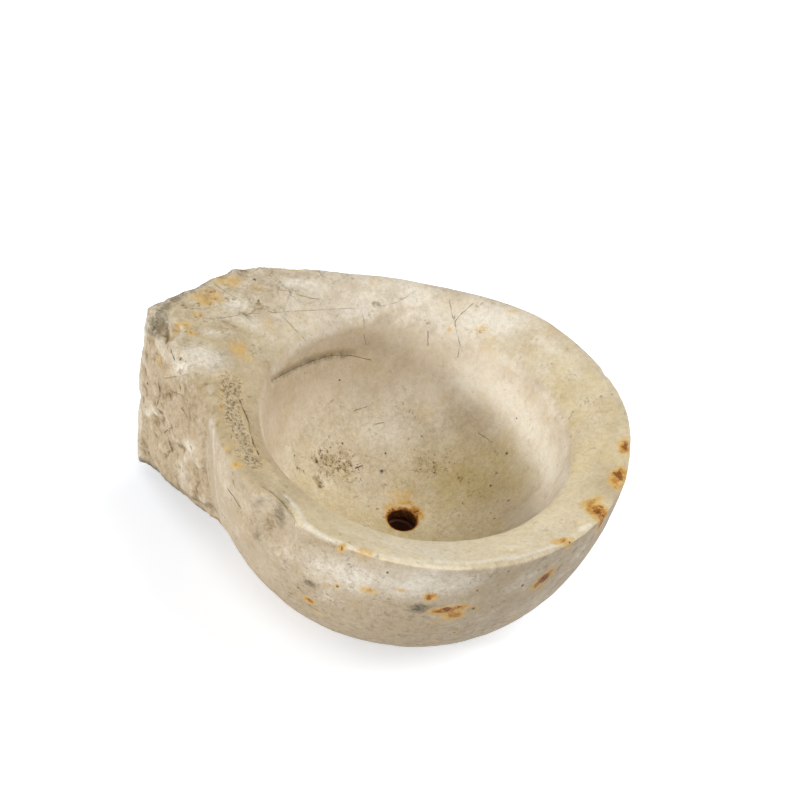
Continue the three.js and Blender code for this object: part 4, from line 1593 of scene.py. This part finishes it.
@dataclass
class Studio:
    """A pale paper floor, five soft lamps and white air behind."""

    floor_side: float = 9.0  # metres
    floor_drop: float = 0.0004  # metres below the base
    drain: tuple[float, float, float] = (0.0, 0.0, 0.0)  # its foot, in metres
    dark_reach: tuple[float, float] = (0.04, 0.06)  # metres round it, where the base keeps the floor dark
    paper: str = "#ededed"
    seen_paper: str = "#e9edf3"  # what the camera sees of it, cool against the stone's warm light
    seen_glow: float = 0.47  # what it adds there, so that the bare floor is white
    air: float = 0.06  # light from all round
    lamps: tuple[Lamp, ...] = (
        Lamp("window_left", 156.0, 14.0, 1.5, 8.0),
        Lamp("softbox_left", 180.0, 16.0, 0.9, 40.0),
        Lamp("softbox_right", 330.0, 54.0, 1.85, 55.0),
        Lamp("softbox_front", 212.0, 62.0, 0.92, 26.0),
        Lamp("softbox_back", 0.0, 14.0, 0.4, 40.0),
    )

    def build(self) -> None:
        """Lays the floor, hangs the lamps and fills the air."""
        half = self.floor_side / 2.0
        mesh = bpy.data.meshes.new("paper_floor")
        corners = [(x * half, y * half, -self.floor_drop) for x, y in ((-1, -1), (1, -1), (1, 1), (-1, 1))]
        mesh.from_pydata(corners, [], [(0, 1, 2, 3)])
        floor = bpy.data.objects.new("paper_floor", mesh)
        bpy.context.scene.collection.objects.link(floor)
        self.make_paper()
        wear_material(floor, "studio_paper")
        for lamp in self.lamps:
            lamp.hang()
        self.make_air()

    def seen(self, tree: bpy.types.NodeTree) -> bpy.types.NodeSocket:
        """1 for rays from the camera, in reflections or through glass, and 0 for light on the stone."""
        path = add(tree, "LightPath").outputs
        either = add(tree, "Math", {0: path["Is Camera Ray"], 1: path["Is Glossy Ray"]}, operation="MAXIMUM")
        return add(tree, "Math", {0: either.outputs[0], 1: path["Is Transmission Ray"]}, operation="MAXIMUM").outputs[0]

    def make_paper(self) -> None:
        """Matt paper: white where the lamps reach it, with the stoup's shadow kept."""
        tree = new_material("studio_paper")
        bounce = add(tree, "BsdfDiffuse", {"Color": linear(self.paper)}).outputs[0]
        matt = add(tree, "BsdfDiffuse", {"Color": linear(self.seen_paper)}).outputs[0]
        place = add(tree, "TexCoord").outputs["Object"]
        away = add(tree, "VectorMath", {0: place, 1: self.drain}, operation="DISTANCE").outputs["Value"]
        lit = {0: away, 1: self.dark_reach[0], 2: self.dark_reach[1], 4: self.seen_glow}
        strength = add(tree, "MapRange", lit).outputs[0]
        glow = add(tree, "Emission", {"Strength": strength}).outputs[0]
        white = add(tree, "AddShader", {0: matt, 1: glow}).outputs[0]
        mixed = add(tree, "MixShader", {0: self.seen(tree), 1: bounce, 2: white}).outputs[0]
        add(tree, "OutputMaterial", {"Surface": mixed})

    def make_air(self) -> None:
        """White behind the stoup, and a little light from all round."""
        world = bpy.data.worlds.new("studio_air")
        world.use_nodes = True
        tree = world.node_tree
        tree.nodes.clear()
        strength = add(tree, "MapRange", {0: self.seen(tree), 3: self.air, 4: 1.0}).outputs[0]
        air = add(tree, "Background", {"Color": (1.0, 1.0, 1.0, 1.0), "Strength": strength}).outputs[0]
        add(tree, "OutputWorld", {"Surface": air})
        bpy.context.scene.world = world


def main() -> None:
    """Builds the stoup's pieces, the camera and the studio, and reports each piece."""
    logging.basicConfig(level=logging.INFO, format="%(message)s")
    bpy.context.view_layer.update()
    stone = StoneBlock()
    camera = PhotoCamera()
    low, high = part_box("drain_pipe")
    middle = (np.array(low) + np.array(high)) / 2.0 / MM
    shift = np.array([middle[0] - stone.drain[0], middle[1] - stone.drain[1], stone.height])
    marble = WornMarble()
    pieces = [
        (stone.build(camera, shift), marble),
        (DrainPipe().build(stone.drain, shift), RUSTED_IRON),
        (LeadSeal().build(stone.drain, shift), DULL_LEAD),
    ]
    for piece, finish in pieces:
        finish.make()
        wear_material(piece, finish.name)
        LOG.info("%s: %d faces in %s", piece.name, len(piece.data.polygons), finish.name)
    Studio(drain=(middle[0] * MM, middle[1] * MM, 0.0)).build()
    camera.place(shift)
    bpy.context.scene.view_settings.view_transform = "Standard"


if __name__ == "__main__":
    main()
